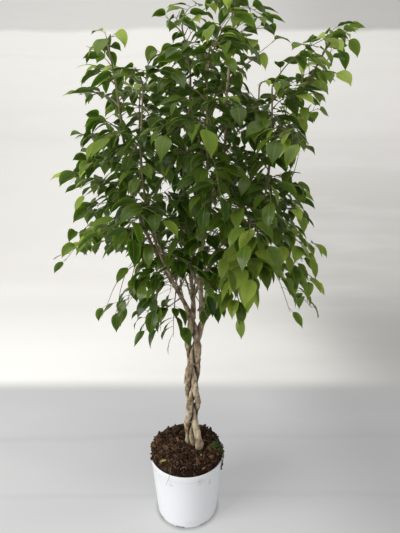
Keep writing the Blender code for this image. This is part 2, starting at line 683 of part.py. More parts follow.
def leaf_frame(base, heading, rise, fall, roll, length, width, stalk):
    """Points and normals of a leaf's midrib, which arches down in one upright plane."""
    forward = Vector((math.cos(heading), math.sin(heading), 0))
    across = Vector((-math.sin(heading), math.cos(heading), 0))
    whole = stalk + length
    shares = [0.0, stalk] + [stalk + share * length for share, _ in BLADE_STATIONS] + [whole]
    points = [base]
    normals = []
    for a, b in zip(shares, shares[1:]):
        tilt = mix(rise, fall, (0.5 * (a + b) / whole) ** BEND_POWER)
        ahead = forward * math.cos(tilt) + Vector((0, 0, math.sin(tilt)))
        points.append(points[-1] + ahead * (b - a))
        normals.append(ahead.cross(across))
    middle = normals[1]
    across = across * math.cos(roll) + middle * math.sin(roll)
    normals = [n * math.cos(roll) - across * math.sin(roll) * n.dot(middle) for n in normals]
    return points, normals, across, width


def leaf_shape(frame, extra=0.0, skip=0.0):
    """The solid of a leaf: a three-cornered stalk, and a blade with a keel under its midrib."""
    points, normals, across, width = frame
    root = points[0].lerp(points[1], skip / (points[1] - points[0]).length)
    stalk = STALK_RADIUS + extra
    rings = []
    for point in (root, points[1]):
        rings.append([point + across * stalk + normals[0] * 0.5 * stalk,
                      point - across * stalk + normals[0] * 0.5 * stalk, point - normals[0] * stalk])
    edges = []
    for point, normal, (_, share) in zip(points[2:], normals[1:], BLADE_STATIONS):
        half = across * (0.5 * width * share + extra)
        raised = point + normal * (CUP + extra)
        edges += [raised + half, raised - half]
    rings.append([*edges[:2], points[2] - normals[1] * (KEEL + extra)])
    body, faces = loft(rings)
    right, left, keel = faces.pop()
    outer_right, outer_left, tip = range(len(body), len(body) + 3)
    faces += [(right, left, outer_left, outer_right), (outer_right, outer_left, tip),
              (left, keel, outer_left), (keel, tip, outer_left),
              (keel, right, outer_right), (keel, outer_right, tip)]
    return [*body, *edges[2:], points[-1] + (points[-1] - points[-2]).normalized() * extra], faces


def try_leaf(twig, slot, attempt, rng):
    """A leaf that might grow from a slot, slots being counted back from the twig's tip."""
    length = sum((b - a).length for a, b in zip(twig, twig[1:]))
    base, ahead = along(twig, length - TERMINAL_INSET - slot * LEAF_SLOT)
    size = rng.uniform(*BLADE_LENGTHS) * (1 - 0.012 * attempt)
    outward = Vector((base.x - CROWN_AXIS[0], base.y - CROWN_AXIS[1], 0)).normalized()
    level = Vector((ahead.x, ahead.y, 0))
    side = 1 if (slot + slot // 2) % 2 == 0 else -1
    spread = 0.0 if slot == 0 else side * rng.uniform(35, 80)
    wanted = turned((level + 0.35 * outward).normalized(), spread + rng.uniform(-1, 1) * (12 + 6 * attempt))
    heading = math.atan2(wanted.y, wanted.x)
    tilt = math.asin(max(-1.0, min(1.0, ahead.z)))
    rise = tilt * 0.8 if slot == 0 else 0.35 * tilt + math.radians(rng.uniform(0, 38))
    falls = next(pair for top, pair in FALLS_BELOW if base.z < top)
    fall = min(math.radians(rng.uniform(*falls)), rise - LEAST_BEND)
    roll = math.radians(rng.uniform(-38, 38))
    stalk = rng.uniform(*STALK_LENGTHS) + 0.0006 * attempt
    return leaf_frame(base, heading, rise, fall, roll, size, size * rng.uniform(*BLADE_WIDTH_SHARE), stalk)


def aimed_leaves(twig, aim, rng):
    """Leaves that might grow from a twig's tip, the one that comes nearest to the aim first."""
    length = sum((b - a).length for a, b in zip(twig, twig[1:]))
    base, ahead = along(twig, length - TERMINAL_INSET)
    way = math.atan2(aim.y - base.y, aim.x - base.x)
    found = []
    for _ in range(AIM_TRIES):
        rise = math.radians(rng.uniform(-45, 50))
        fall = min(math.radians(rng.uniform(-88, 5)), rise - LEAST_BEND)
        size = rng.uniform(*BLADE_LENGTHS)
        width = size * rng.uniform(*BLADE_WIDTH_SHARE)
        heading = way + math.radians(rng.uniform(-40, 40))
        roll = math.radians(rng.uniform(-65, 65))
        found.append(leaf_frame(base, heading, rise, fall, roll, size, width, rng.uniform(*STALK_LENGTHS)))
    return sorted(found, key=lambda frame: (frame[0][-1] - aim).length)


def leaf_slots(twig):
    length = sum((b - a).length for a, b in zip(twig, twig[1:]))
    return int((length * (1 - BARE_SHARE) - TERMINAL_INSET) / LEAF_SLOT) + 1


def grow_leaves(space, shoots):
    """Leaves of every shoot: the tips first, then the slots back along each twig."""
    grown = {number: [] for number in shoots}
    most = max(leaf_slots(twig) for _, twigs in shoots.values() for twig, _ in twigs)
    for slot in (0, 1, *range(2, most, 2)):
        for number, (_, twigs) in shoots.items():
            for branch, (twig, aim) in enumerate(twigs):
                if slot >= leaf_slots(twig) or slot == 1 and (aim is None or branch > 0):
                    continue
                rng = random.Random(SEED + 10000 * number + 100 * branch + slot)
                if slot == 0 and aim is not None:
                    frames = aimed_leaves(twig, aim, rng)
                else:
                    frames = [try_leaf(twig, slot, attempt, rng) for attempt in range(LEAF_TRIES)]
                    frames = [frame for frame in frames if all(map(inside, leaf_shape(frame)[0]))]
                for frame in frames:
                    if space.is_free(leaf_shape(frame, ROOM, LEAF_ROOT_SKIP)):
                        space.claim(leaf_shape(frame))
                        grown[number].append(frame)
                        break
    return grown


def make_fallen_leaf():
    """A small leaf that lies on the soil on its keel's two ends."""
    along_it = Vector((math.cos(FALLEN_ANGLE), math.sin(FALLEN_ANGLE), 0))
    across = Vector((-math.sin(FALLEN_ANGLE), math.cos(FALLEN_ANGLE), 0))
    centre = Vector((*FALLEN_AT, 0))
    shares = ((-0.5, 0.15), (-0.2, 0.9), (0.12, 1.0), (0.36, 0.55), (0.5, 0.08))
    outline = [centre + along_it * FALLEN_LENGTH * s for s, _ in shares]
    reach = [-1, 0, 1]
    lift = max(soil_top(p.x + across.x * FALLEN_HALF_WIDTH * k, p.y + across.y * FALLEN_HALF_WIDTH * k)
               for p in outline for k in reach) + 0.0006
    rings = []
    for point, (_, share) in zip(outline, shares):
        half = across * FALLEN_HALF_WIDTH * share
        low = Vector((point.x, point.y, lift))
        high = low + Vector((0, 0, FALLEN_THICKNESS))
        rings.append([low - half, low + half, high + half, high - half])
    return solid("fallen_leaf", [loft(rings)], finish("fallen_leaf"))


# The whole plant


def make_plant():
    space = Space()
    bark, leaf = finish("bark"), finish("leaf")
    stems = stem_paths()
    paths = {OWN_LEADERS[stem]: path for stem, (path, _) in stems.items()}
    woods = {stem: [tube(path, radii, STEM_SIDES)] for stem, (path, radii) in stems.items()}
    for name, (stem, *_) in LEADERS.items():
        if name not in paths:
            path, radii = leader_path(name)
            paths[name] = path
            woods[stem].append(tube(path, radii, LEADER_SIDES))
    for shapes in woods.values():
        for shape in shapes:
            space.claim(shape)

    shoots = {}
    for number, spec in enumerate([*OUTLINE_SHOOTS, *ruled_shoots(paths)], start=1):
        shoot = grow_shoot(space, number, spec, paths[spec[0]])
        if shoot is not None:
            shoots[number] = shoot
    leaves = grow_leaves(space, shoots)

    for stem, shapes in woods.items():
        solid(stem, shapes, bark)
    for number, (leaving, twigs) in shoots.items():
        first = twigs[0][0]
        main = tube(first, taper(first, TWIG_RADIUS, TWIG_TIP_RADIUS), TWIG_SIDES, leaving)
        sides = [tube(twig, taper(twig, SIDE_RADIUS, TWIG_TIP_RADIUS), TWIG_SIDES) for twig, _ in twigs[1:]]
        solid(f"shoot_{number:02d}", [main, *sides, *map(leaf_shape, leaves[number])], leaf)
    feet = []
    for path, radii in stems.values():
        below = [(p, r) for p, r in zip(path, radii) if p.z < FOOT_HEIGHT + 0.04]
        sunk = Vector((0, 0, TOUCH_GAP))
        feet.append(([below[0][0] - sunk] + [p for p, _ in below[1:]], [r for _, r in below]))
    return feet


def main():
    for thing in list(bpy.data.objects):
        bpy.data.objects.remove(thing)
    make_pot()
    make_soil(make_plant())
    make_fallen_leaf()


main()
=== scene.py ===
import json
import random
from math import asin, atan2, ceil, cos, dist, exp, hypot, pi, radians, sin, sqrt

import bpy
import numpy as np
from mathutils import Matrix, Vector, noise
from mathutils.bvhtree import BVHTree

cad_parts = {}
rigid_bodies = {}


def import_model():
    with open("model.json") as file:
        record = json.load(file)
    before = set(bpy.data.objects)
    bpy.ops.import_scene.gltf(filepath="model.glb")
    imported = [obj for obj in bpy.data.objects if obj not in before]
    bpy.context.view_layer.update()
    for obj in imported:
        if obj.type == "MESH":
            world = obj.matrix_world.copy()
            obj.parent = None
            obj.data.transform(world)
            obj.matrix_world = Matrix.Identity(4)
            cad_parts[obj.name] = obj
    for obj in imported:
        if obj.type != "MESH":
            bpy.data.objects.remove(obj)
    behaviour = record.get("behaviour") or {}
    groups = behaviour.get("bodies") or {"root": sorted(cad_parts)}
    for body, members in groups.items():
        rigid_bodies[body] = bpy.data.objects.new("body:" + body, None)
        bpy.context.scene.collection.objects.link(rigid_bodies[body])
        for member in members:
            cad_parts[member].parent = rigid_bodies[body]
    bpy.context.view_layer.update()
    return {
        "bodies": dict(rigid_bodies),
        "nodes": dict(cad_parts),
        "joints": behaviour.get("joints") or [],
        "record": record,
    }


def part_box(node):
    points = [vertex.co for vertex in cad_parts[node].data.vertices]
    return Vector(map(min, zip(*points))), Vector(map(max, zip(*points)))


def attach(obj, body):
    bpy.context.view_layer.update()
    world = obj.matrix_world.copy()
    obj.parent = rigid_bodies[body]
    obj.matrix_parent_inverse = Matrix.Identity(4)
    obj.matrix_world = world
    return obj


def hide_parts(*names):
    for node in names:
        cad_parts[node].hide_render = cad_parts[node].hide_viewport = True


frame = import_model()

print("frame loaded:", len(frame["nodes"]), "nodes")


def mix(a, b, t):
    return a + (b - a) * t


def smooth(t):
    t = min(max(t, 0.0), 1.0)
    return t * t * (3 - 2 * t)


def rough(x, y, z, scale, seed):
    # smooth noise about zero, the same each run
    return noise.noise(Vector((x * scale + seed, y * scale - seed, z * scale + 0.37 * seed)))


def up(z):
    return Vector((0, 0, z))


def level(angle):
    return Vector((cos(angle), sin(angle), 0))


def aside(way):
    # a level direction turned by a quarter
    return Vector((-way.y, way.x, 0))


def circle(count):
    return [2 * pi * j / count for j in range(count)]


def metres(values, unit=1000):
    # a table written in millimetres, or in another unit
    if isinstance(values, dict):
        return {key: metres(value, unit) for key, value in values.items()}
    if isinstance(values, tuple):
        return tuple(metres(value, unit) for value in values)
    return values if isinstance(values, str) else values / unit


def newMesh(name, points, faces):
    mesh = bpy.data.meshes.new(name)
    mesh.from_pydata(points, [], faces)
    return mesh


def newThing(name, data):
    thing = bpy.data.objects.new(name, data)
    bpy.context.scene.collection.objects.link(thing)
    return thing


# a shader socket that can stand in a sum
class Signal:
    def __init__(self, recipe, socket):
        self.recipe, self.socket = recipe, socket

    def combine(self, operation, first, second=0.0):
        parts = [part for part in (first, second) if isinstance(part, Signal)]
        onVectors = any(part.socket.type == "VECTOR" for part in parts)
        kind = "ShaderNodeVectorMath" if onVectors else "ShaderNodeMath"
        return self.recipe.node(kind, {"operation": operation}, {0: first, 1: second})

    def __add__(self, other):
        return self.combine("ADD", self, other)

    def __radd__(self, other):
        return self.combine("ADD", other, self)

    def __sub__(self, other):
        return self.combine("SUBTRACT", self, other)

    def __rsub__(self, other):
        return self.combine("SUBTRACT", other, self)

    def __mul__(self, other):
        return self.combine("MULTIPLY", self, other)

    def __rmul__(self, other):
        return self.combine("MULTIPLY", other, self)

    def __truediv__(self, other):
        return self.combine("DIVIDE", self, other)

    def __pow__(self, other):
        return self.combine("POWER", self, other)

    def size(self):
        return self.combine("ABSOLUTE", self)

    def sine(self):
        return self.combine("SINE", self)

    def over(self, low, high):
        # 0 below low, 1 above high, smooth between
        sockets = {"Value": self, "From Min": low, "From Max": high}
        return self.recipe.node("ShaderNodeMapRange", {"interpolation_type": "SMOOTHSTEP"}, sockets)


class Recipe:
    # a material: its Principled shader, and one method that adds any other node
    def __init__(self, name):
        self.material = bpy.data.materials.new(name)
        self.material.use_nodes = True
        self.tree = self.material.node_tree
        self.shader = self.tree.nodes["Principled BSDF"]

    def feed(self, socket, value):
        if isinstance(value, Signal):
            self.tree.links.new(value.socket, socket)
        elif socket.type == "RGBA":
            socket.default_value = (*value[:3], 1.0)
        elif socket.type == "VECTOR" and not hasattr(value, "__len__"):
            socket.default_value = (value, value, value)
        else:
            socket.default_value = value

    def node(self, kind, settings, sockets, output=0):
        made = self.tree.nodes.new(kind)
        for name, value in settings.items():
            if name == "stops":
                ramp = made.color_ramp
                ramp.elements[0].position, ramp.elements[-1].position = value[0][0], value[-1][0]
                for place, _ in value[1:-1]:
                    ramp.elements.new(place)
                for element, (_, colour) in zip(ramp.elements, value):
                    element.color = (*colour, 1.0)
            else:
                setattr(made, name, value)
        for key, value in sockets.items():
            self.feed(made.inputs[key], value)
        return Signal(self, made.outputs[output])

    def blend(self, mask, first, second):
        return self.node("ShaderNodeMix", {"data_type": "RGBA"}, {0: mask, 6: first, 7: second}, 2)

    def paint(self, colour, *layers):
        # each layer is a mask and the colour that it brings
        for mask, other in layers:
            colour = self.blend(mask, colour, other)
        return colour

    def grain(self, scale, detail=3.0, where=None, roughness=0.55):
        sockets = {"Scale": scale, "Detail": detail, "Roughness": roughness}
        return self.node("ShaderNodeTexNoise", {}, sockets | {"Vector": where or self.place()})

    def cells(self, scale, where=None, output=0):
        sockets = {"Scale": scale, "Vector": where or self.place()}
        return self.node("ShaderNodeTexVoronoi", {}, sockets, output)

    def place(self):
        return self.node("ShaderNodeTexCoord", {}, {}, "Object")

    def parts(self, vector):
        made = self.node("ShaderNodeSeparateXYZ", {}, {0: vector})
        return [Signal(self, made.socket.node.outputs[k]) for k in range(3)]

    def vector(self, x, y, z=0.0):
        return self.node("ShaderNodeCombineXYZ", {}, {0: x, 1: y, 2: z})

    def uv(self, name):
        return self.parts(self.node("ShaderNodeUVMap", {"uv_map": name}, {}))[:2]

    def colours(self, value, *stops):
        return self.node("ShaderNodeValToRGB", {"stops": stops}, {0: value})

    def bump(self, height, distance, strength=1.0):
        sockets = {"Height": height, "Distance": distance, "Strength": strength}
        return self.node("ShaderNodeBump", {}, sockets)

    def surface(self, **values):
        for name, value in values.items():
            self.feed(self.shader.inputs[name.replace("_", " ")], value)
        return self.material


# shapes are gathered in a bundle and then made into one mesh
class Bundle:
    def __init__(self):
        self.points, self.faces, self.grain, self.side, self.tone = [], [], [], [], []
        self.chartOf, self.count, self.charts = [], 0, 0

    def add(self, points, faces, grain, side=(0, 0), tone=(0.5, 0.0), chartOf=None):
        # grain: each corner's place on the surface; side and tone: what it is and its colour
        corners = sum(len(face) for face in faces)
        self.points.append(np.asarray(points, float).reshape(-1, 3))
        self.faces += [tuple(k + self.count for k in face) for face in faces]
        self.count += len(self.points[-1])
        self.grain.append(np.asarray(grain, float))
        self.side.append(np.broadcast_to(np.asarray(side, float), (corners, 2)))
        self.tone.append(np.array(np.broadcast_to(np.asarray(tone, float), (corners, 2))))
        chartOf = np.zeros(corners, int) if chartOf is None else chartOf
        self.chartOf.append(chartOf + self.charts)
        self.charts += int(chartOf.max()) + 1

    def addPlain(self, shape, tone, second=0.0):
        # a shape that needs no place on its surface
        points, faces = shape
        self.add(points, faces, np.zeros((sum(map(len, faces)), 2)), tone=(tone, second))

    def addRings(self, rings, **facts):
        self.add(*loft(rings), tubeCorners(len(rings), len(rings[0])), **facts)

    def piece(self, name, material, slot, *nodes, bakeMap=True):
        mesh = newMesh(name, np.concatenate(self.points), self.faces)
        columns = ceil(sqrt(self.charts) / 1.4)
        rows = ceil(self.charts / columns)
        chartOf = np.concatenate(self.chartOf)
        cell = np.stack([chartOf % columns, chartOf // columns], axis=1)
        maps = {"grain": np.concatenate(self.grain), "side": np.concatenate(self.side),
                "tone": np.concatenate(self.tone)}
        if bakeMap:
            maps["OFBake"] = (cell + 0.04 + 0.92 * np.clip(maps["grain"], 0, 1)) / (columns, rows)
        for label, values in maps.items():
            mesh.uv_layers.new(name=label).data.foreach_set("uv", values.astype(np.float32).ravel())
        return makePiece(name, mesh, material, slot, *nodes)


smoothUpTo = radians(48)


def makePiece(name, mesh, material, slot, *nodes):
    mesh.validate()
    mesh.materials.append(material)
    mesh.shade_smooth()
    mesh.set_sharp_from_angle(angle=smoothUpTo)
    thing = newThing(name, mesh)
    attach(thing, "root")
    if nodes:
        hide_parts(*nodes)
    return thing


def gridFaces(rings, sides, first=0):
    # the four-sided faces between rings of points
    found = []
    for start in range(first, first + (rings - 1) * sides, sides):
        for j in range(sides):
            a, b = start + j, start + (j + 1) % sides
            found.append((a, b, b + sides, a + sides))
    return found


def tubeFaces(rings, sides):
    count = rings * sides
    return [tuple(range(sides))[::-1], *gridFaces(rings, sides), tuple(range(count - sides, count))]


def tubeCorners(rings, sides):
    # along and around, for each corner of each face of a tube
    corners = [(0.0, (j + 0.5) / sides) for j in range(sides - 1, -1, -1)]
    for i in range(rings - 1):
        low, high = i / (rings - 1), (i + 1) / (rings - 1)
        for j in range(sides):
            left, right = j / sides, (j + 1) / sides
            corners += [(low, left), (low, right), (high, right), (high, left)]
    corners += [(1.0, (j + 0.5) / sides) for j in range(sides)]
    return np.array(corners)


def tubeRings(path, radii, sides, heading=None):
    rings = []
    across = None
    for i, point in enumerate(path):
        ahead = path[min(i + 1, len(path) - 1)] - path[max(i - 1, 0)]
        if i == 0 and heading:
            ahead = heading.copy()
        ahead.normalize()
        if across is None:
            across = ahead.orthogonal()
        across = (across - ahead * across.dot(ahead)).normalized()
        other = ahead.cross(across)
        rings.append([point + radii[i] * (cos(a) * across + sin(a) * other)
                      for a in circle(sides)])
    return rings


def loft(rings):
    return [point for ring in rings for point in ring], tubeFaces(len(rings), len(rings[0]))


def tube(path, radii, sides, heading=None):
    return loft(tubeRings(path, radii, sides, heading))


def pathLength(path):
    return sum((b - a).length for a, b in zip(path, path[1:]))


def spline(points, step):
    padded = [2 * points[0] - points[1], *points, 2 * points[-1] - points[-2]]
    found = []
    for a, b, c, d in zip(padded, padded[1:], padded[2:], padded[3:]):
        count = max(1, round((c - b).length / step))
        bends = (2 * a - 5 * b + 4 * c - d, 3 * b - a - 3 * c + d)
        for t in (k / count for k in range(count)):
            found.append(0.5 * ((2 * b) + (c - a) * t + bends[0] * t * t + bends[1] * t ** 3))
    return [*found, points[-1].copy()]


# camera, light and stage
view = {"eye": (0.0, -1.04, 1.013), "pitch": 14.8, "yaw": 2.06, "focalPixels": 420,
        "pictureHeight": 533}
stage = {"crease": 0.68, "floorEnd": 2.4, "wallY": 4.8, "halfWidth": 7.0, "near": -4.5, "top": 6.0,
         "glow": 0.42, "bendSteps": 12, "sink": 0.0004}
# where it hangs, what it points at, its size, watts and tint
lamps = {
    "window": ((-2.9, -1.6, 1.9), (0.0, 0.1, 0.80), 1.9, 108, (1, 1, 0.99)),
    "fill": ((1.9, -2.6, 1.9), (0.0, 0.0, 0.7), 2.2, 22, (1, 1, 1)),
    "ceiling": ((-0.3, -0.6, 3.4), (0.0, 0.1, 0.0), 2.4, 40, (1, 1, 0.99)),
}
ambient = {"colour": (1.0, 1.0, 1.0), "strength": 0.24}


def setCamera():
    pitch, yaw = radians(view["pitch"]), radians(view["yaw"])
    forward = Vector((sin(yaw) * cos(pitch), cos(yaw) * cos(pitch), -sin(pitch)))
    right = Vector((cos(yaw), -sin(yaw), 0))
    camera = newThing("camera", bpy.data.cameras.new("camera"))
    camera.matrix_world = Matrix((right, right.cross(forward), -forward)).transposed().to_4x4()
    camera.location = view["eye"]
    camera.data.sensor_width = 36
    camera.data.lens = 36 * view["focalPixels"] / view["pictureHeight"]
    camera.data.clip_start = 0.02
    bpy.context.scene.camera = camera


def setLight():
    for name, (at, towards, size, watts, tint) in lamps.items():
        light = bpy.data.lights.new(name, "AREA")
        light.size, light.energy, light.color = size, watts, tint
        thing = newThing(name, light)
        thing.location = at
        thing.rotation_euler = (Vector(towards) - Vector(at)).to_track_quat("-Z", "Y").to_euler()
        thing.visible_camera = False
    world = bpy.data.worlds.new("room")
    world.use_nodes = True
    background = world.node_tree.nodes["Background"]
    background.inputs["Color"].default_value = (*ambient["colour"], 1)
    background.inputs["Strength"].default_value = ambient["strength"]
    bpy.context.scene.world = world
    bpy.context.scene.view_settings.view_transform = "Standard"


def paleCloth():
    recipe = Recipe("paleCloth")
    x, y, z = recipe.parts(recipe.place())
    folds = recipe.grain(1.0, 3.0, recipe.vector(x * 0.45, y * 1.3, z * 3.0))
    fine = recipe.grain(1.0, 2.0, recipe.vector(x * 1.2, y * 6.0, z * 8.0))
    folded = folds.over(0.40, 0.62)
    # painted shade: the cloth darker towards the right and lower down
    shaded = x.over(-0.7, 1.3) * (1 - z.over(0.1, 1.5) * 0.84)
    # the grey that the painted shade turns towards
    paintedShadeGrey = (0.10, 0.10, 0.10)

    # bands of painted shade along the folds of the cloth
    def bands(signal, rows, colour):
        # at, half width, depth
        return [((1 - (signal - at).size().over(0.0, half)) * depth, colour)
                for at, half, depth in rows]

    wavy = z + 0.16 * recipe.grain(0.8, 2.0)
    wallBands = ((2.62, 0.05, 0.10), (2.30, 0.03, 0.05), (1.30, 0.05, 0.04))
    # the cloth's colour: painted light higher up and where the folds rise, painted shade to the
    # right, along the folds, above the top fold and at the near right
    cloth = recipe.paint(
        recipe.blend(z.over(0.9, 2.6), (0.80, 0.785, 0.755), (0.86, 0.845, 0.81)),
        (shaded * 0.75, (0.50, 0.49, 0.465)), (folded * 0.20, (0.90, 0.89, 0.87)),
        *bands(wavy, wallBands, (0.30, 0.29, 0.27)),
        (wavy.over(2.58, 2.66) * (0.22 + 0.15 * x.over(0.4, 1.8)), paintedShadeGrey),
        (x.over(0.50, 1.15) * (1 - y.over(1.2, 3.2)) * 0.28, paintedShadeGrey))
    floorBands = ((0.36, 0.03, 0.09), (0.08, 0.02, 0.08), (-0.24, 0.02, 0.07))
    away = (x * x + y * y) ** 0.5
    # the floor's colour: painted light where the folds rise, painted shade to the right, along the
    # folds and round the pot's foot
    ground = recipe.paint(
        recipe.blend(folded, (0.635, 0.640, 0.642), (0.705, 0.706, 0.706)),
        (x.over(0.24, 0.70) * 0.29, paintedShadeGrey),
        *bands(y + 0.10 * recipe.grain(1.1, 2.0), floorBands, (0.30, 0.30, 0.30)),
        ((1 - away.over(0.082, 0.100)) * 0.55, (0.20, 0.20, 0.20)))  # contact shade
    behind = y.over(stage["crease"] - 0.06, stage["crease"] + 0.07)
    # painted light: the cloth behind glows by its own light, more further back and in a strip close
    # behind, away from the right
    paintedLightStrip = 0.45 * (1 - y.over(0.9, 1.9)) * (1 - x.over(0.35, 1.0))
    shine = recipe.blend(0.40 + 0.75 * y.over(0.7, 2.6) + paintedLightStrip, (0, 0, 0), cloth)
    # the floor's colour is halved and its own light gives the rest, so that the shade stays pale
    return recipe.surface(
        Base_Color=recipe.blend(behind, recipe.blend(0.48, ground, (0, 0, 0)), cloth),
        Emission_Color=recipe.blend(behind, ground, shine), Emission_Strength=stage["glow"],
        Roughness=0.85, Normal=recipe.bump(folds * 0.8 + fine * 0.3, 0.05, 0.25))


def setStage():
    # a floor that sweeps up far behind; a crease in the cloth lies close behind the pot
    bend = stage["wallY"] - stage["floorEnd"]
    profile = [(stage["near"], 0.0)]
    for k in range(stage["bendSteps"] + 1):
        a = pi / 2 * k / stage["bendSteps"]
        profile.append((stage["floorEnd"] + bend * sin(a), bend - bend * cos(a)))
    profile.append((stage["wallY"], stage["top"]))
    sides = (-stage["halfWidth"], stage["halfWidth"])
    points = [(x, y, z - stage["sink"]) for y, z in profile for x in sides]
    faces = [(2 * k, 2 * k + 1, 2 * k + 3, 2 * k + 2) for k in range(len(profile) - 1)]
    mesh = newMesh("backdrop", points, faces)
    mesh.shade_smooth()
    mesh.materials.append(paleCloth())
    backdrop = newThing("backdrop", mesh)
    backdrop.rotation_euler.z = -radians(view["yaw"])


setCamera()
setLight()
setStage()
print("camera, light and stage set")

# pot
pot = {
    "height": 0.185, "rimRadius": 0.105, "baseRadius": 0.0865, "wall": 0.0018, "floor": 0.0022,
    "bandHeight": 0.019, "bandProud": 0.0012, "corner": 0.003, "segments": 128,
    "slots": 8, "slotWidth": 0.021, "slotHeight": 0.0042, "firstSlot": -105.5,
    "seenSlots": (0, 7),
}
# dark marks on the front, dirt, and a fully dark dash at the very foot: across, up, half width,
# half height, depth
frontMarks = ((-0.094, 0.166, 0.010, 0.006, 0.35), (-0.044, 0.150, 0.007, 0.004, 0.30),
           (0.036, 0.163, 0.012, 0.012, 0.28), (0.062, 0.150, 0.005, 0.016, 0.25),
           (0.010, 0.020, 0.020, 0.008, 0.15), (-0.0447, 0.003, 0.0055, 0.004, 1.0))


def potRadius(height):
    return mix(pot["baseRadius"], pot["rimRadius"] - pot["bandProud"], height / pot["height"])


def whitePlastic():
    recipe = Recipe("whitePlastic")
    x, y, z = recipe.parts(recipe.place())
    scuff = recipe.grain(16.0, 5.0, recipe.vector(x * 1.6, y * 1.6, z * 0.7)).over(0.58, 0.80)
    speck = recipe.cells(150.0).over(0.10, 0.05) * recipe.grain(30.0, 2.0).over(0.60, 0.72)
    foot = pot["height"] - pot["bandHeight"]
    # painted shade: a thin darker line just under the proud band
    paintedShadeUnderBand = z.over(foot - 0.0030, foot - 0.0010) * (1 - z.over(foot - 0.0006, foot + 0.0010))
    colour = recipe.paint(
        (0.85, 0.87, 0.895), (scuff * (z.over(0.120, 0.172) * 0.42 + 0.10), (0.62, 0.61, 0.59)),
        # the next layer is painted contact shade along the bottom 6 mm, where the pot meets the
        # floor
        ((1 - z.over(0.0, 0.006)) * 0.35, (0.50, 0.49, 0.47)), (speck * 0.5, (0.35, 0.30, 0.24)),
        (paintedShadeUnderBand * 0.35, (0.55, 0.55, 0.55)))
    for across, height, wide, high, depth in frontMarks:
        gap = ((x - across) / wide) ** 2 + ((z - height) / high) ** 2
        blot = (1 - gap.over(0.2, 1.3)) * (1 - y.over(-0.02, 0.0))
        blot = blot * recipe.grain(130.0, 3.0).over(0.35, 0.60)
        colour = recipe.blend(blot * depth, colour, (0.30, 0.26, 0.21))
    # painted shade and soil seen through the drain slots, painted round them, darker at the slots
    # seen from the front
    for k, turn in enumerate(circle(pot["slots"])):
        turn += radians(pot["firstSlot"] + 1.5)
        side = y * cos(turn) - x * sin(turn)
        ahead = x * cos(turn) + y * sin(turn)
        slotShadeAndSoil = (1 - side.size().over(0.0110, 0.0128)) * ahead.over(0.05, 0.06)
        slotShadeAndSoil = slotShadeAndSoil * (1 - z.over(0.0050, 0.0068)) * (0.92 if k in pot["seenSlots"] else 0.35)
        colour = recipe.blend(slotShadeAndSoil, colour, (0.070, 0.064, 0.058))
    ripple = recipe.grain(9.0, 2.0) * 0.7 + recipe.grain(260.0, 2.0) * 0.05
    return recipe.surface(Base_Color=colour, Roughness=0.30 + 0.22 * scuff,
                          Normal=recipe.bump(ripple, 0.0012, 0.5))


def drainCutter():
    half, high, base = pot["slotWidth"] / 2, pot["slotHeight"], pot["baseRadius"]
    right = [(half, -0.002), (half, 0.5 * high), (0.94 * half, 0.8 * high), (0.86 * half, high)]
    section = [(-half, -0.002), *right, *[(-s, z) for s, z in right[:0:-1]]]
    points, faces = [], []
    for turn in circle(pot["slots"]):
        out = level(radians(pot["firstSlot"]) + turn)
        rings = [[out * r + aside(out) * s + up(z) for s, z in section]
                 for r in (base - 0.009, base + 0.006)]
        more, between = loft(rings)
        faces += [tuple(k + len(points) for k in face) for face in between]
        points += more
    return newThing("drainCutters", newMesh("drainCutters", points, faces))


def makePot():
    height, wall, corner, proud = pot["height"], pot["wall"], pot["corner"], pot["bandProud"]
    foot, rim, segments = height - pot["bandHeight"], pot["rimRadius"], pot["segments"]
    profile = [
        (0.004, pot["floor"]), (potRadius(0) - wall - corner - 0.004, pot["floor"]),
        (potRadius(corner) - wall - 0.8 * corner, pot["floor"] + 0.0008),
        *[(potRadius(z) - wall, z) for z in (2 * corner, 0.5 * height, height - 0.004)],
        (rim - 0.0029, height - 0.0006), (rim - 0.0022, height), (rim - 0.0008, height),
        (rim - 0.0002, height - 0.0005), (rim, height - 0.0014), (rim - 0.0003, height - 0.006),
        (potRadius(foot) + proud, foot + 0.0010), (potRadius(foot) + 0.8 * proud, foot + 0.0001),
        (potRadius(foot) + 0.25 * proud, foot - 0.0010), (potRadius(foot), foot - 0.0020),
        *[(potRadius(z), z) for z in (0.6 * height, 0.3 * height, 2 * corner)],
        (potRadius(corner) - 0.0001, corner), (potRadius(0) - 0.35 * corner, 0.3 * corner),
        (potRadius(0) - corner, 0.0), (potRadius(0) - corner - 0.004, 0.0), (0.004, 0.0),
    ]
    points = [(r * cos(a), r * sin(a), z) for r, z in profile for a in circle(segments)]
    faces = [face[::-1] for face in gridFaces(len(profile), segments)]
    faces += [tuple(range(segments)), tuple(range(len(points) - segments, len(points)))[::-1]]
    mesh = newMesh("nurseryPot", points, faces)
    body = makePiece("nurseryPot", mesh, whitePlastic(), "pot", "pot")
    cutter = drainCutter()
    cut = body.modifiers.new("drains", "BOOLEAN")
    cut.operation, cut.object, cut.solver = "DIFFERENCE", cutter, "EXACT"
    bpy.context.view_layer.update()
    evaluated = body.evaluated_get(bpy.context.evaluated_depsgraph_get())
    done = bpy.data.meshes.new_from_object(evaluated)
    body.modifiers.clear()
    body.data = done
    done.shade_smooth()
    done.set_sharp_from_angle(angle=smoothUpTo)
    bpy.data.objects.remove(cutter)


makePot()
print("pot made")

# the plant's plan: the same rules that place the CAD's stems, shoots and leaves
# radius and height of the heap of soil
soilHeap = ((0.1005, 0.197), (0.0950, 0.2080), (0.0780, 0.2135), (0.0400, 0.2145))
braid = {
    "footHeight": 0.214, "holeDepth": 0.060, "sides": 6, "step": 0.024,
    "feet": ((0.0045, 0.0060), (0.0185, -0.0050), (0.0350, -0.0280)),
    "phases": (240.0, 0.0, 120.0), "start": 0.262, "top": 0.600, "pitch": 0.366,
    "halfWidth": 0.0125, "bulge": 0.0020, "bulgeHeight": 0.437, "bulgeSpacing": 0.086,
    "opening": 0.0035, "halfDepth": 0.0115, "squeeze": 0.2, "centre": (0.0165, 0.0240),
    "radius": (0.0083, 0.0076),
}
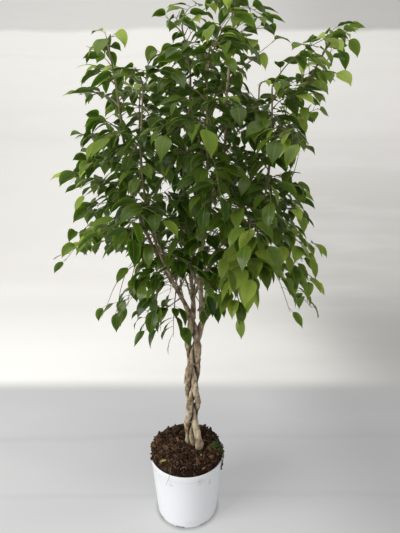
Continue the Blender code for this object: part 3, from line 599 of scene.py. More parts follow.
# stem, first and last radius, and the way in millimetres
leaders = {
    "left": ("stem_1", 0.0054, 0.0019, metres((
        (-7, 0, 648), (-45, -8, 719), (-96, -15, 831), (-125, -18, 920), (-139, -20, 1040),
        (-147, -22, 1126), (-160, -26, 1225), (-167, -27, 1256)))),
    "centre_left": ("stem_2", 0.0056, 0.0019, metres((
        (20, 8, 655), (9, 20, 745), (0, 30, 860), (-1, 36, 990), (12, 36, 1110), (15, 30, 1203),
        (-3, 23, 1295)))),
    "centre": ("stem_3", 0.0060, 0.0020, metres((
        (40, -10, 664), (35, -16, 745), (43, -21, 835), (72, -29, 935), (93, -35, 1030),
        (96, -40, 1150), (104, -45, 1250), (108, -46, 1314)))),
    "right": ("stem_3", 0.0050, 0.0018, metres((
        (36, -8, 618), (55, 0, 655), (104, 4, 735), (135, 1, 850), (163, -6, 960),
        (222, -16, 1035), (258, -21, 1120), (300, -25, 1210), (327, -28, 1263)))),
    "back_left": ("stem_1", 0.0040, 0.0017, metres((
        (-36, -6, 700), (-55, 30, 755), (-88, 88, 835), (-113, 128, 940), (-120, 140, 1060),
        (-112, 130, 1190)))),
    "back": ("stem_2", 0.0042, 0.0017, metres((
        (14, 14, 700), (22, 50, 755), (32, 105, 845), (36, 145, 960), (42, 160, 1090),
        (52, 150, 1250)))),
    "back_right": ("stem_3", 0.0038, 0.0017, metres((
        (95, 3, 720), (120, 40, 775), (155, 92, 860), (180, 124, 960), (194, 135, 1070),
        (196, 126, 1190)))),
    "front_left": ("stem_1", 0.0038, 0.0017, metres((
        (-18, -2, 668), (-34, -46, 720), (-62, -100, 805), (-82, -138, 905), (-88, -150, 1020),
        (-80, -140, 1150)))),
    "front": ("stem_3", 0.0038, 0.0017, metres((
        (36, -14, 715), (38, -55, 765), (44, -110, 850), (46, -150, 955), (46, -168, 1080),
        (44, -160, 1200)))),
    "front_right": ("stem_3", 0.0036, 0.0017, metres((
        (84, 2, 700), (112, -42, 750), (148, -96, 820), (170, -128, 910), (180, -140, 1020),
        (178, -134, 1150)))),
}
# the leader that is each stem's own end
ownLeaders = {"stem_1": "left", "stem_2": "centre_left", "stem_3": "centre"}
leaderSides, leaderStep = 5, 0.060
touchGap, room = 0.0003, 0.0010

# in millimetres: leader, height where the shoot leaves it, tip, arch, tips of its side twigs
outlineShoots = metres((
    ("left", 1238, (-180, 15, 1285), 10, ((-135, -25, 1250),)),
    ("left", 1160, (-215, -45, 1210), 20, ((-220, -35, 1180),)),
    ("left", 1120, (-285, 55, 1150), 40, ((-235, 25, 1130),)),
    ("left", 1055, (-190, -155, 1085), 20, ((-190, 65, 1065),)),
    ("left", 1010, (-290, 115, 1065), 30, ((-220, -85, 1040),)),
    ("left", 970, (-230, -145, 1000), 30, ((-245, 45, 1020),)),
    ("left", 925, (-335, 65, 955), 30, ((-300, 15, 925),)),
    ("left", 885, (-235, -155, 895), 35, ((-245, 5, 840),)),
    ("left", 850, (-350, 35, 720), 60, ((-260, -135, 830), (-270, -40, 775))),
    ("front_left", 840, (-210, -150, 815), 35, ((-165, -190, 810),)),
    ("left", 795, (-140, -165, 750), 40, ((-115, -125, 780),)),
    ("left", 765, (-245, 45, 575), 50, ((-170, -110, 610), (-150, -70, 605))),
    ("left", 655, (-130, -50, 545), 15, ((-75, -20, 520), (-105, 30, 605))),
    ("left", 680, (-35, -60, 515), 30, ((0, -30, 520), (-25, -100, 645))),
    ("centre_left", 1130, (-100, -15, 1200), 20, ((-125, -5, 1195),)),
    ("centre_left", 1215, (-40, 60, 1270), 20, ((-80, -65, 1205),)),
    ("centre_left", 1280, (-65, -15, 1310), 10, ((0, 75, 1350),)),
    ("right", 1250, (400, 15, 1300), 10, ((375, -15, 1230),)),
    ("right", 1180, (345, -115, 1160), 20, ((355, 15, 1270),)),
    ("right", 1150, (285, 75, 1265), 10, ((260, -5, 1210), (265, -100, 1260))),
    ("right", 1085, (205, -15, 1150), 10, ((250, -45, 1175),)),
    ("right", 1060, (370, 105, 1135), 20, ((280, -95, 1080),)),
    ("right", 995, (285, -115, 1020), 30, ((270, 55, 1070),)),
    ("right", 920, (275, 5, 975), 25, ((315, 5, 915),)),
    ("right", 880, (300, -85, 900), 30, ((310, -65, 845),)),
    ("right", 845, (390, 65, 745), 45, ((355, 25, 710),)),
    ("right", 790, (275, -125, 615), 70, ((375, 15, 660), (385, 90, 555))),
    ("front_right", 800, (155, -225, 700), 40, ((180, -205, 735),)),
    ("front_right", 745, (135, -135, 600), 30, ((105, -170, 655),)),
    ("right", 675, (80, -80, 615), 20, ((55, -30, 585),)),
    ("centre", 1300, (120, -5, 1370), 5, ((150, -25, 1350), (80, -105, 1305))),
    ("centre", 1230, (35, -90, 1245), 10, ((190, -5, 1315),)),
    ("centre", 1165, (235, -15, 1275), 12, ((165, -95, 1190),)),
    ("front", 820, (45, -215, 800), 25, ((10, -180, 840),)),
    ("centre", 1110, (35, -155, 1155), 15, ((80, -105, 1165),)),
    ("centre", 1050, (180, -15, 1145), 15, ((205, -55, 1140),)),
))
ruled = {
    "leaders": {"back_left": 0.06, "back": -0.05, "back_right": 0.06, "front_left": 0.03,
                "front": -0.07, "front_right": 0.0},
    # share up the leader, reach outwards, drop, turn to a side
    "back": ((0.22, 0.180, 0.140, 30.0), (0.57, 0.155, 0.020, -34.0), (0.985, 0.110, -0.050, 18.0)),
    "front": ((0.42, 0.165, 0.065, 34.0), (0.72, 0.150, 0.0, -36.0), (0.985, 0.090, -0.080, 20.0)),
    "sidesAt": {"back": (0.30, 0.48, 0.66, 0.84), "front": (0.42, 0.68)},
    "arch": 0.035, "sideAngle": 52.0, "sideShare": 0.42, "sideDrop": 0.22,
}
listedSide = {"at": (0.45, 0.30), "arch": 0.015}
crownAxis = (0.030, 0.000)
tipBack = {"share": 0.03, "lift": 0.006, "below": 0.90, "steps": 24, "room": 0.045}
# the crown as seen from the front, in centimetres
outline = metres((
    (-7, 133), (-1, 137), (7, 140), (14, 140), (21, 133), (25, 131), (24, 127), (18, 127),
    (19, 122), (15, 119), (15, 116), (19, 113), (21, 118), (26, 120), (27, 126), (36, 132),
    (41, 130), (38, 127), (39, 118), (35, 118), (33, 111), (30, 107), (32, 102), (27, 101),
    (27, 95), (33, 91), (32, 82), (37, 78), (35, 70), (38, 66), (34, 65), (36, 59), (31, 56),
    (28, 58), (26, 68), (22, 67), (20, 62), (17, 61), (15, 54), (12, 59), (5, 58), (3, 49),
    (-4, 49), (-14, 52), (-18, 57), (-24, 59), (-24, 62), (-17, 66), (-13, 76), (-20, 77),
    (-31, 77), (-33, 72), (-35, 76), (-30, 80), (-25, 84), (-29, 88), (-28, 92), (-33, 96),
    (-24, 101), (-27, 106), (-23, 109), (-23, 113), (-28, 115), (-23, 119), (-23, 123), (-17, 129),
    (-13, 127), (-14, 122), (-9, 121), (-4, 126), (-4, 131),
), 100)
twigs = {
    "radius": 0.0021, "tipRadius": 0.0015, "sideRadius": 0.0017, "seatStep": 0.0004,
    "seatSteps": 60, "seatLength": 0.012, "sides": 3, "points": 5, "sidePoints": 3,
    "rootSkip": 0.007, "tries": 24, "stray": 0.0022,
}
leaf = {
    "aimLength": 0.048, "aimDrop": 0.010, "aimTries": 60, "lengths": (0.043, 0.064),
    "widthShare": (0.46, 0.55), "stalks": (0.011, 0.016), "stalkRadius": 0.00065,
    "stations": ((0.36, 1.0), (0.70, 0.66)), "cup": 0.0009, "keel": 0.0005, "slot": 0.0176,
    "bareShare": 0.26, "inset": 0.004, "tries": 24, "rootSkip": 0.0055, "bendPower": 0.75,
    "leastBend": radians(10),
    # below a height: the angles that blades fall to
    "falls": ((0.75, (-88, -48)), (1.10, (-80, -22)), (9.0, (-62, -8))),
}
seed = 2024


class Space:
    # what has its place already, so that nothing new grows through it
    def __init__(self):
        self.trees, self.boxes = [], np.empty((0, 2, 3))

    def treeAndBox(self, shape):
        corners = np.array([tuple(point) for point in shape[0]])
        return BVHTree.FromPolygons(*shape), np.array([[corners.min(axis=0), corners.max(axis=0)]])

    def claim(self, shape):
        tree, box = self.treeAndBox(shape)
        self.trees.append(tree)
        self.boxes = np.concatenate([self.boxes, box])

    def isFree(self, shape):
        tree, box = self.treeAndBox(shape)
        near = (self.boxes[:, 0] < box[0, 1]) & (self.boxes[:, 1] > box[0, 0])
        return not any(tree.overlap(self.trees[i]) for i in np.flatnonzero(near.all(axis=1)))


def braidCentre(height):
    return mix(*braid["centre"], smooth((height - 0.42) / 0.18))


def braidRadius(height):
    return mix(*braid["radius"], smooth((height - braid["footHeight"]) / 0.12))


def braidPoint(index, height):
    phase = radians(braid["phases"][index])
    phase += 2 * pi * (height - braid["top"] - 0.02) / braid["pitch"]
    bulge = cos(2 * pi * (height - braid["bulgeHeight"]) / braid["bulgeSpacing"])
    width = braid["halfWidth"] + braid["bulge"] * bulge
    width += braid["opening"] * smooth((height - 0.52) / 0.08)
    depth = braid["halfDepth"] * (sin(2 * phase) - braid["squeeze"] * sin(4 * phase))
    braided = (braidCentre(height) + width * sin(phase), depth)
    risen = smooth((height - braid["footHeight"]) / (braid["start"] - braid["footHeight"]))
    x, y = (mix(braid["feet"][index][i], braided[i], risen) for i in range(2))
    return Vector((x, y, height))


def nearest(point, path):
    # gap to a path's nearest piece, that piece's number and the share along it
    best = None
    for k, (a, b) in enumerate(zip(path, path[1:])):
        t = min(max((point - a).dot(b - a) / (b - a).length_squared, 0.0), 1.0)
        gap = (point - a.lerp(b, t)).length
        if best is None or gap < best[0]:
            best = (gap, k, t)
    return best


def roomBeside(path, k, others):
    ends = {max(k - 1, 0), min(k + 1, len(path) - 1)}
    points = [path[k].lerp(path[end], share) for end in ends for share in (0.0, 0.25, 0.5, 0.75)]
    return min(nearest(point, other)[0] for point in points for other in others)


def leaderTaper(path, first, last):
    return [mix(first, last, (k / (len(path) - 1)) ** 0.8) for k in range(len(path))]


def stemPaths():
    foot = braid["footHeight"] - braid["holeDepth"]
    count = round((braid["top"] - foot) / braid["step"])
    heights = [mix(foot, braid["top"], k / count) for k in range(count + 1)]
    axes = [[braidPoint(i, z) for z in heights] for i in range(3)]
    found = {}
    for i, (stem, leader) in enumerate(ownLeaders.items()):
        axis, others = axes[i], axes[:i] + axes[i + 1:]
        radii = [min(braidRadius(point.z), roomBeside(axis, k, others) / 2 - touchGap)
                 for k, point in enumerate(axis)]
        _, first, last, way = leaders[leader]
        above = spline([*axis[-2:], *map(Vector, way)], leaderStep)[1:]
        above = [point for point in above if point.z > axis[-1].z + 0.5 * braid["step"]]
        found[stem] = (axis + above, radii + leaderTaper(above, first, last))
    return found


def leaderPath(name):
    _, first, last, way = leaders[name]
    path = spline([Vector(point) for point in way], leaderStep)
    return path, leaderTaper(path, first, last)


def pointAtHeight(path, height):
    # a point of a rising path and the direction there
    for a, b in zip(path, path[1:]):
        if a.z <= height <= b.z:
            return a.lerp(b, (height - a.z) / (b.z - a.z)), (b - a).normalized()
    return path[-1].copy(), (path[-1] - path[-2]).normalized()


def arch(start, heading, tip, count):
    middle = start + heading * (tip - start).length * 0.5
    shares = [k / (count - 1) for k in range(count)]
    return [(1 - t) ** 2 * start + 2 * t * (1 - t) * middle + t * t * tip for t in shares]


def turned(vector, degrees):
    a = radians(degrees)
    return Vector((vector.x * cos(a) - vector.y * sin(a), vector.x * sin(a) + vector.y * cos(a),
                   vector.z))


def outwardFrom(point):
    return Vector((point.x - crownAxis[0], point.y - crownAxis[1], 0)).normalized()


def along(path, distance):
    # the same by the distance from the path's start
    for a, b in zip(path, path[1:]):
        piece = (b - a).length
        if distance <= piece:
            return a.lerp(b, distance / piece), (b - a).normalized()
        distance -= piece
    return path[-1].copy(), (path[-1] - path[-2]).normalized()


def trimmed(path, skip):
    # the path without its first part
    first, _ = along(path, skip)
    gone, rest = 0.0, [first]
    for a, b in zip(path, path[1:]):
        gone += (b - a).length
        if gone > skip + 0.0005:
            rest.append(b)
    return rest


def taper(path, first, last, extra=0.0):
    return [mix(first, last, k / (len(path) - 1)) + extra for k in range(len(path))]


def ruledShoots(paths):
    found = []
    for name, higher in ruled["leaders"].items():
        path = paths[name]
        low, high = path[1].z, path[-1].z
        rows = ruled[name.split("_")[0]]
        for share, reach, drop, turn in rows:
            height = mix(low, high, min(share + higher, rows[-1][0]))
            base, _ = pointAtHeight(path, height)
            tip = base + turned(outwardFrom(base), turn) * reach - up(drop)
            found.append((name, height, tuple(tip), ruled["arch"], None))
    return found


def sideTips(path, shares):
    found = []
    length = pathLength(path)
    for side, share in zip((1, -1, 1, -1), shares):
        base, ahead = along(path, share * length)
        flat = Vector((ahead.x, ahead.y, 0.25 * ahead.z)).normalized()
        reach = max(ruled["sideShare"] * length, 0.045)
        drop = up(ruled["sideDrop"] * reach)
        found.append((share, base + turned(flat, side * ruled["sideAngle"]) * reach - drop))
    return found


def seenAt(point):
    # where the line of sight to a point meets the plane y = 0
    share = view["eye"][1] / (view["eye"][1] - point.y)
    return mix(view["eye"][0], point.x, share), mix(view["eye"][2], point.z, share)


def inside(point):
    # whether a point lies within the crown's outline, as seen from the front
    x, z = seenAt(point)
    crossings = 0
    for (x1, z1), (x2, z2) in zip(outline, (*outline[1:], outline[0])):
        if (z1 > z) != (z2 > z) and x < mix(x1, x2, (z - z1) / (z2 - z1)):
            crossings += 1
    return crossings % 2 == 1


def drawnIn(start, heading, tip):
    # the tip, pulled back until the twig lies within the crown's outline
    lift = up(tipBack["lift"] if tip.z < tipBack["below"] else 0.0)
    for step in range(tipBack["steps"]):
        moved = tip.lerp(start, tipBack["share"] * step) + lift * step
        path = arch(start, heading, moved, twigs["points"])
        if inside(moved) and inside(moved + (path[-1] - path[-2]).normalized() * tipBack["room"]):
            break
    return moved


def shortOf(start, aim):
    # a tip that leaves room for the last leaf to reach the aim
    back = min(leaf["aimLength"], 0.5 * (aim - start).length)
    return aim + (start - aim).normalized() * back + up(leaf["aimDrop"])


def growTwig(space, start, heading, tip, count, radius, skip, rng):
    # an arched path that clears everything, with its tip a little off if need be
    for attempt in range(twigs["tries"]):
        moved = tip + Vector([rng.uniform(-1, 1) * twigs["stray"] * attempt for _ in range(3)])
        path = arch(start, heading, moved, count)
        rest = trimmed(path, skip)
        if space.isFree(tube(rest, taper(rest, radius, twigs["tipRadius"], room), twigs["sides"])):
            return path
    return None


def seat(space, base, heading):
    # the first place along the heading where a twig's foot is clear of the bark
    for step in range(twigs["seatSteps"]):
        start = base + heading * twigs["seatStep"] * step
        foot = [start, start + heading * twigs["seatLength"]]
        if space.isFree(tube(foot, [twigs["radius"]] * 2, twigs["sides"])):
            return start + heading * touchGap
    return None


def growShoot(space, number, spec, leader):
    leaderName, height, tip, lift, listed = spec
    rng = random.Random(seed + number)
    tip = Vector(tip)
    base, _ = pointAtHeight(leader, height)
    heading = ((tip - base) * 0.5 + up(1.6 * lift)).normalized()
    start = seat(space, base, heading)
    if start is None:
        return None

    def reached(start, heading, tip):
        return drawnIn(start, heading, tip) if listed is None else shortOf(start, tip)

    end = reached(start, heading, tip)
    main = growTwig(space, start, heading, end, twigs["points"], twigs["radius"],
                    twigs["seatLength"], rng)
    if main is None:
        return None
    thin = twigs["tipRadius"]
    space.claim(tube(main, taper(main, twigs["radius"], thin), twigs["sides"], heading))
    grown = [(main, None if listed is None else tip)]
    if listed is None:
        wanted = sideTips(main, ruled["sidesAt"][leaderName.split("_")[0]])
    else:
        wanted = [(listedSide["at"][k], Vector(tip)) for k, tip in enumerate(listed)]
    length = pathLength(main)
    for share, tip in wanted:
        base, ahead = along(main, share * length)
        turnedTo = ((tip - base) * 0.5 + up(listedSide["arch"]) + ahead * 0.012).normalized()
        side = growTwig(space, base, turnedTo, reached(base, turnedTo, tip), twigs["sidePoints"],
                        twigs["sideRadius"], twigs["rootSkip"], rng)
        if side is not None:
            rest = trimmed(side, twigs["rootSkip"])
            space.claim(tube(rest, taper(rest, twigs["sideRadius"], thin), twigs["sides"]))
            grown.append((side, None if listed is None else tip))
    return heading, grown


def leafFrame(base, heading, rise, fall, roll, length, width, stalk):
    # points and normals of the midrib, and the numbers that the fine blade is made from
    forward = level(heading)
    across = aside(forward)
    whole = stalk + length
    shares = [0.0, stalk] + [stalk + share * length for share, _ in leaf["stations"]] + [whole]
    points = [base]
    normals = []
    for a, b in zip(shares, shares[1:]):
        tilt = mix(rise, fall, (0.5 * (a + b) / whole) ** leaf["bendPower"])
        ahead = forward * cos(tilt) + up(sin(tilt))
        points.append(points[-1] + ahead * (b - a))
        normals.append(ahead.cross(across))
    middle = normals[1]
    across = across * cos(roll) + middle * sin(roll)
    normals = [n * cos(roll) - across * sin(roll) * n.dot(middle) for n in normals]
    return points, normals, across, width, (*base, heading, rise, fall, roll, length, width, stalk)


def leafShape(frame, extra=0.0, skip=0.0):
    # the plain solid of a leaf, used to keep the leaves clear of one another
    points, normals, across, width, _ = frame
    root = points[0].lerp(points[1], skip / (points[1] - points[0]).length)
    stalk = leaf["stalkRadius"] + extra
    rings = [[point + across * stalk + normals[0] * 0.5 * stalk,
              point - across * stalk + normals[0] * 0.5 * stalk,
              point - normals[0] * stalk] for point in (root, points[1])]
    edges = []
    for point, normal, (_, share) in zip(points[2:], normals[1:], leaf["stations"]):
        half = across * (0.5 * width * share + extra)
        raised = point + normal * (leaf["cup"] + extra)
        edges += [raised + half, raised - half]
    rings.append([*edges[:2], points[2] - normals[1] * (leaf["keel"] + extra)])
    body, faces = loft(rings)
    right, left, keel = faces.pop()
    outerRight, outerLeft, tip = range(len(body), len(body) + 3)
    faces += [(right, left, outerLeft, outerRight), (outerRight, outerLeft, tip),
              (left, keel, outerLeft), (keel, tip, outerLeft),
              (keel, right, outerRight), (keel, outerRight, tip)]
    end = points[-1] + (points[-1] - points[-2]).normalized() * extra
    return [*body, *edges[2:], end], faces


def tryLeaf(twig, slot, attempt, rng):
    base, ahead = along(twig, pathLength(twig) - leaf["inset"] - slot * leaf["slot"])
    size = rng.uniform(*leaf["lengths"]) * (1 - 0.012 * attempt)
    side = 1 if (slot + slot // 2) % 2 == 0 else -1
    spread = 0.0 if slot == 0 else side * rng.uniform(35, 80)
    spread += rng.uniform(-1, 1) * (12 + 6 * attempt)
    flat = Vector((ahead.x, ahead.y, 0)) + 0.35 * outwardFrom(base)
    wanted = turned(flat.normalized(), spread)
    tilt = asin(max(-1.0, min(1.0, ahead.z)))
    rise = tilt * 0.8 if slot == 0 else 0.35 * tilt + radians(rng.uniform(0, 38))
    falls = next(pair for below, pair in leaf["falls"] if base.z < below)
    fall = min(radians(rng.uniform(*falls)), rise - leaf["leastBend"])
    roll = radians(rng.uniform(-38, 38))
    stalk = rng.uniform(*leaf["stalks"]) + 0.0006 * attempt
    width = size * rng.uniform(*leaf["widthShare"])
    return leafFrame(base, atan2(wanted.y, wanted.x), rise, fall, roll, size, width, stalk)


def aimedLeaves(twig, aim, rng):
    # leaves drawn at random, the one whose tip comes nearest to the aim first
    base, _ = along(twig, pathLength(twig) - leaf["inset"])
    way = atan2(aim.y - base.y, aim.x - base.x)
    found = []
    for _ in range(leaf["aimTries"]):
        rise = radians(rng.uniform(-45, 50))
        fall = min(radians(rng.uniform(-88, 5)), rise - leaf["leastBend"])
        size = rng.uniform(*leaf["lengths"])
        width = size * rng.uniform(*leaf["widthShare"])
        heading = way + radians(rng.uniform(-40, 40))
        roll, stalk = radians(rng.uniform(-65, 65)), rng.uniform(*leaf["stalks"])
        found.append(leafFrame(base, heading, rise, fall, roll, size, width, stalk))
    return sorted(found, key=lambda frame: (frame[0][-1] - aim).length)


def leafSlots(twig, bareShare):
    return int((pathLength(twig) * (1 - bareShare) - leaf["inset"]) / leaf["slot"]) + 1


def leafTries(twig, slot, tries, rng, allowed):
    # one leaf after another, each drawn anew, as far as it lies where it may
    for attempt in range(tries):
        frame = tryLeaf(twig, slot, attempt, rng)
        if all(map(allowed, leafShape(frame)[0])):
            yield frame


def settle(space, frames, margin, grown):
    # takes the first leaf that has room
    for frame in frames:
        if space.isFree(leafShape(frame, margin, leaf["rootSkip"])):
            space.claim(leafShape(frame))
            grown.append(frame)
            return frame


def growLeaves(space, shoots):
    grown = {number: [] for number in shoots}
    bare = leaf["bareShare"]
    most = max(leafSlots(twig, bare) for _, members in shoots.values() for twig, _ in members)
    for slot in (0, 1, *range(2, most, 2)):
        for number, (_, members) in shoots.items():
            for branch, (twig, aim) in enumerate(members):
                if slot >= leafSlots(twig, bare) or slot == 1 and (aim is None or branch > 0):
                    continue
                rng = random.Random(seed + 10000 * number + 100 * branch + slot)
                if slot == 0 and aim is not None:
                    frames = aimedLeaves(twig, aim, rng)
                else:
                    frames = leafTries(twig, slot, leaf["tries"], rng, inside)
                settle(space, frames, room, grown[number])
    return grown


space = Space()
stems = stemPaths()
paths = {ownLeaders[stem]: path for stem, (path, _) in stems.items()}
radiiOf = {ownLeaders[stem]: radii for stem, (_, radii) in stems.items()}
for path, radii in stems.values():
    space.claim(tube(path, radii, braid["sides"]))
for name in leaders:
    if name not in paths:
        paths[name], radiiOf[name] = leaderPath(name)
        space.claim(tube(paths[name], radiiOf[name], leaderSides))
shoots = {}
for number, spec in enumerate([*outlineShoots, *ruledShoots(paths)], start=1):
    shoot = growShoot(space, number, spec, paths[spec[0]])
    if shoot is not None:
        shoots[number] = shoot
leaves = growLeaves(space, shoots)
print("plan repeated:", len(shoots), "shoots,", sum(map(len, leaves.values())), "leaves")

# more leaves than the CAD has: the slots between, and short twigs that fill the crown
infill = {
    "seed": 41, "bareShare": 0.08, "tries": 14, "margin": 0.0002, "twigsPerLeader": 31,
    "candidates": 18, "twigSides": 3, "crowd": 0.055,
    "reach": (0.06, 0.15), "rise": (0.010, 0.040), "drop": (-0.02, 0.05), "slot": 0.0168,
    "lowest": 0.05, "lengths": (0.040, 0.060), "skip": 0.010, "leafyShare": 0.86,
    "upper": (1.04, 1.20), "upperReach": 0.62, "upperLift": 0.055, "upperSkip": 0.62,
    "clearing": ((-0.062, 0.50), (0.046, 0.700)), "thinLeft": (-0.09, 1.00, 1.24, 0.95),
    "large": {14: (0.046, 0.058), 27: (0.052, 0.062), 28: (0.072, 0.082)}, "loose": (14, 45, 54),
    # leader, height, tip and leaf lengths of twigs with a place of their own
    "placed": metres((
        ("front_right", 772, (100, -225, 800), (70, 80)),
        ("front_right", 800, (135, -235, 775), (66, 78)), ("left", 735, (-30, -50, 700), (40, 50)),
        ("left", 700, (-60, -30, 690), (36, 46)), ("centre", 1225, (150, -80, 1245), (44, 56)),
        ("centre", 1160, (155, -90, 1175), (44, 56)), ("centre", 1270, (160, -70, 1290), (44, 56)),
        ("left", 1200, (-200, -50, 1235), (36, 46)), ("right", 960, (270, -60, 935), (44, 54)),
        ("right", 900, (265, -30, 860), (44, 54)), ("right", 850, (250, -50, 800), (44, 54)),
        ("right", 800, (235, -30, 745), (44, 54)),
        ("front_right", 910, (255, -170, 880), (44, 54)),
        ("front_right", 850, (240, -150, 790), (44, 54)),
    )),
    "halfWidth": 0.37,
    "depth": ((0.45, 0.08), (0.60, 0.22), (0.75, 0.31), (1.00, 0.33), (1.15, 0.27), (1.25, 0.21),
              (1.40, 0.13)),
}


def depthAt(height):
    heights, reaches = zip(*infill["depth"])
    return float(np.interp(height, heights, reaches))


def fits(point):
    across = (point.x - crownAxis[0]) / infill["halfWidth"]
    if abs(point.y) > depthAt(point.z) * sqrt(max(0.12, 1 - across ** 2)):
        return False
    x, z = seenAt(point)
    (left, low), (right, high) = infill["clearing"]
    return not (left < x < right and low < z < high) and inside(point)


def fillSlots(shoots, leaves):
    # leaves at the slots that the CAD leaves bare
    for number, (_, members) in shoots.items():
        leaf["lengths"] = infill["large"].get(number, infill["lengths"])
        allowed = (lambda _: True) if number in infill["loose"] else fits
        for branch, (twig, aim) in enumerate(members):
            sown = leafSlots(twig, leaf["bareShare"])
            taken = {0, *range(2, sown, 2), *([1] if aim is not None and branch == 0 else [])}
            for slot in sorted(set(range(leafSlots(twig, infill["bareShare"]))) - taken):
                rng = random.Random(infill["seed"] + 10000 * number + 100 * branch + slot)
                frames = leafTries(twig, slot, infill["tries"], rng, allowed)
                settle(space, frames, infill["margin"], leaves[number])


# slender bare branches that fan out of the fork
fork = {
    "count": 22, "tries": 12, "leaders": ("left", "centre_left", "centre", "right"),
    "heights": (0.630, 0.70), "reach": (0.05, 0.13), "climb": (0.10, 0.20),
    "radii": (0.0021, 0.0013), "skip": 0.014,
}


def growForkTwigs(paths):
    rng = random.Random(infill["seed"] + 7)
    grown = []
    for k in range(fork["count"]):
        name = fork["leaders"][k % len(fork["leaders"])]
        for _ in range(fork["tries"]):
            base, ahead = pointAtHeight(paths[name], rng.uniform(*fork["heights"]))
            way = 2 * pi * (k / fork["count"] + rng.uniform(-0.06, 0.06))
            out = Vector((cos(way), sin(way) * 0.6, 0))
            tip = base + out * rng.uniform(*fork["reach"]) + up(rng.uniform(*fork["climb"]))
            heading = (out * 0.5 + ahead * 0.3 + up(0.8)).normalized()
            start = seat(space, base, heading)
            twig = start and growTwig(space, start, heading, tip, twigs["points"], twigs["radius"],
                                      fork["skip"], rng)
            if twig:
                space.claim(tube(twig, taper(twig, *fork["radii"]), 4))
                grown.append((heading, twig))
                break
    return grown


def growInfill(base, heading, tip, taken, rng, allowed):
    # one more twig with its leaves, or nothing where it finds no room
    start = seat(space, base, heading)
    thick = twigs["sideRadius"]
    twig = start and growTwig(space, start, heading, tip, twigs["points"], thick,
                              infill["skip"], rng)
    if not twig or not all(map(inside, twig)):
        return None
    space.claim(tube(twig, taper(twig, thick, twigs["tipRadius"]), infill["twigSides"]))
    grown = []
    leafy = pathLength(twig) * infill["leafyShare"] - leaf["inset"]
    for slot in range(int(leafy / infill["slot"]) + 1):
        frames = leafTries(twig, slot, infill["tries"], rng, allowed)
        frame = settle(space, frames, infill["margin"], grown)
        if frame:
            taken.append(tuple(frame[0][3]))
    return heading, twig, grown


def placeTwigs(paths, added, taken):
    rng = random.Random(infill["seed"] + 3)
    for name, height, tip, leaf["lengths"] in infill["placed"]:
        tip = Vector(tip)
        base, _ = pointAtHeight(paths[name], height)
        heading = ((tip - base).normalized() + up(0.45)).normalized()
        made = growInfill(base, heading, tip, taken, rng, inside)
        if made:
            added[name].append(made)


def fillCrown(paths, leaves):
    # each new twig goes where the leaves are thinnest among a few places that it could go
    rng = random.Random(infill["seed"])
    taken = [tuple(frame[0][3]) for frames in leaves.values() for frame in frames]
    added = {name: [] for name in paths}
    placeTwigs(paths, added, taken)
    leaf["lengths"] = infill["lengths"]
    farLeft, above, below, skip = infill["thinLeft"]
    lowUpper, highUpper = infill["upper"]
    for name, path in list(paths.items()) * infill["twigsPerLeader"]:
        best = None
        low = max(path[0].z, leaders[name][3][0][2])
        low += infill["lowest"] * (name in ownLeaders.values())
        crowd = np.array(taken)
        for _ in range(infill["candidates"]):
            height = rng.uniform(low, path[-1].z)
            upper = smooth((height - lowUpper) / (highUpper - lowUpper))
            if rng.random() < infill["upperSkip"] * upper:
                continue
            base, ahead = pointAtHeight(path, height)
            outward = level(rng.uniform(0, 2 * pi))
            reach = rng.uniform(*infill["reach"]) * mix(1.0, infill["upperReach"], upper)
            rise = rng.uniform(*infill["rise"])
            drop = rng.uniform(*infill["drop"]) - infill["upperLift"] * upper
            tip = base + outward * reach - up(drop)
            heading = (outward + ahead * 0.5 + up(rise / reach * 4)).normalized()
            if not (fits(tip) and fits(tip + outward * 0.03)):
                continue
            if tip.x < farLeft and above < tip.z < below and rng.random() < skip:
                continue
            near = np.linalg.norm(crowd - np.array(tip.lerp(base, 0.25)), axis=1)
            crowding = np.exp(-(near / infill["crowd"]) ** 2).sum()
            if best is None or crowding < best[0]:
                best = (crowding, base, heading, tip)
        made = best and growInfill(*best[1:], taken, rng, fits)
        if made:
            added[name].append(made)
    return added


forkTwigs = growForkTwigs(paths)
print("fork twigs:", len(forkTwigs))
fillSlots(shoots, leaves)
print("slots between filled:", sum(map(len, leaves.values())), "leaves")
added = fillCrown(paths, leaves)
print("crown filled:", sum(len(made) for made in added.values()), "more twigs,",
      sum(len(grown) for made in added.values() for _, _, grown in made), "more leaves")

# fine leaves and twigs
blade = {
    # share of the length, share of the half width
    "outline": ((0.0, 0.03), (0.03, 0.24), (0.08, 0.52), (0.15, 0.79), (0.24, 0.95), (0.35, 1.0),
                (0.47, 0.95), (0.58, 0.83), (0.68, 0.66), (0.77, 0.46), (0.85, 0.24),
                (0.91, 0.115), (0.965, 0.055)),
    "columns": 5, "thickness": 0.0005, "stalkRings": 4, "stalkSides": 4, "stalkRadius": 0.00062,
    "fold": (0.14, 0.42), "round": (0.05, 0.22), "wave": (0.02, 0.09), "waves": (1.2, 2.4),
    "keel": 0.0005, "stalkShares": (1.0, 0.85, 0.85, 0.75),
    "rise": radians(9), "fall": radians(-14), "steps": 60,
    # the share of young, yellower leaves from the heart to the edge, which also paints light on the
    # outer leaves, where that share rises, and a spot where leaves turn yellower, with its reach
    "youngAndLit": (0.03, 0.54), "youngAndLitFrom": (0.55, 0.95), "brightAt": ((0.118, -0.215, 0.775), 0.062),
}


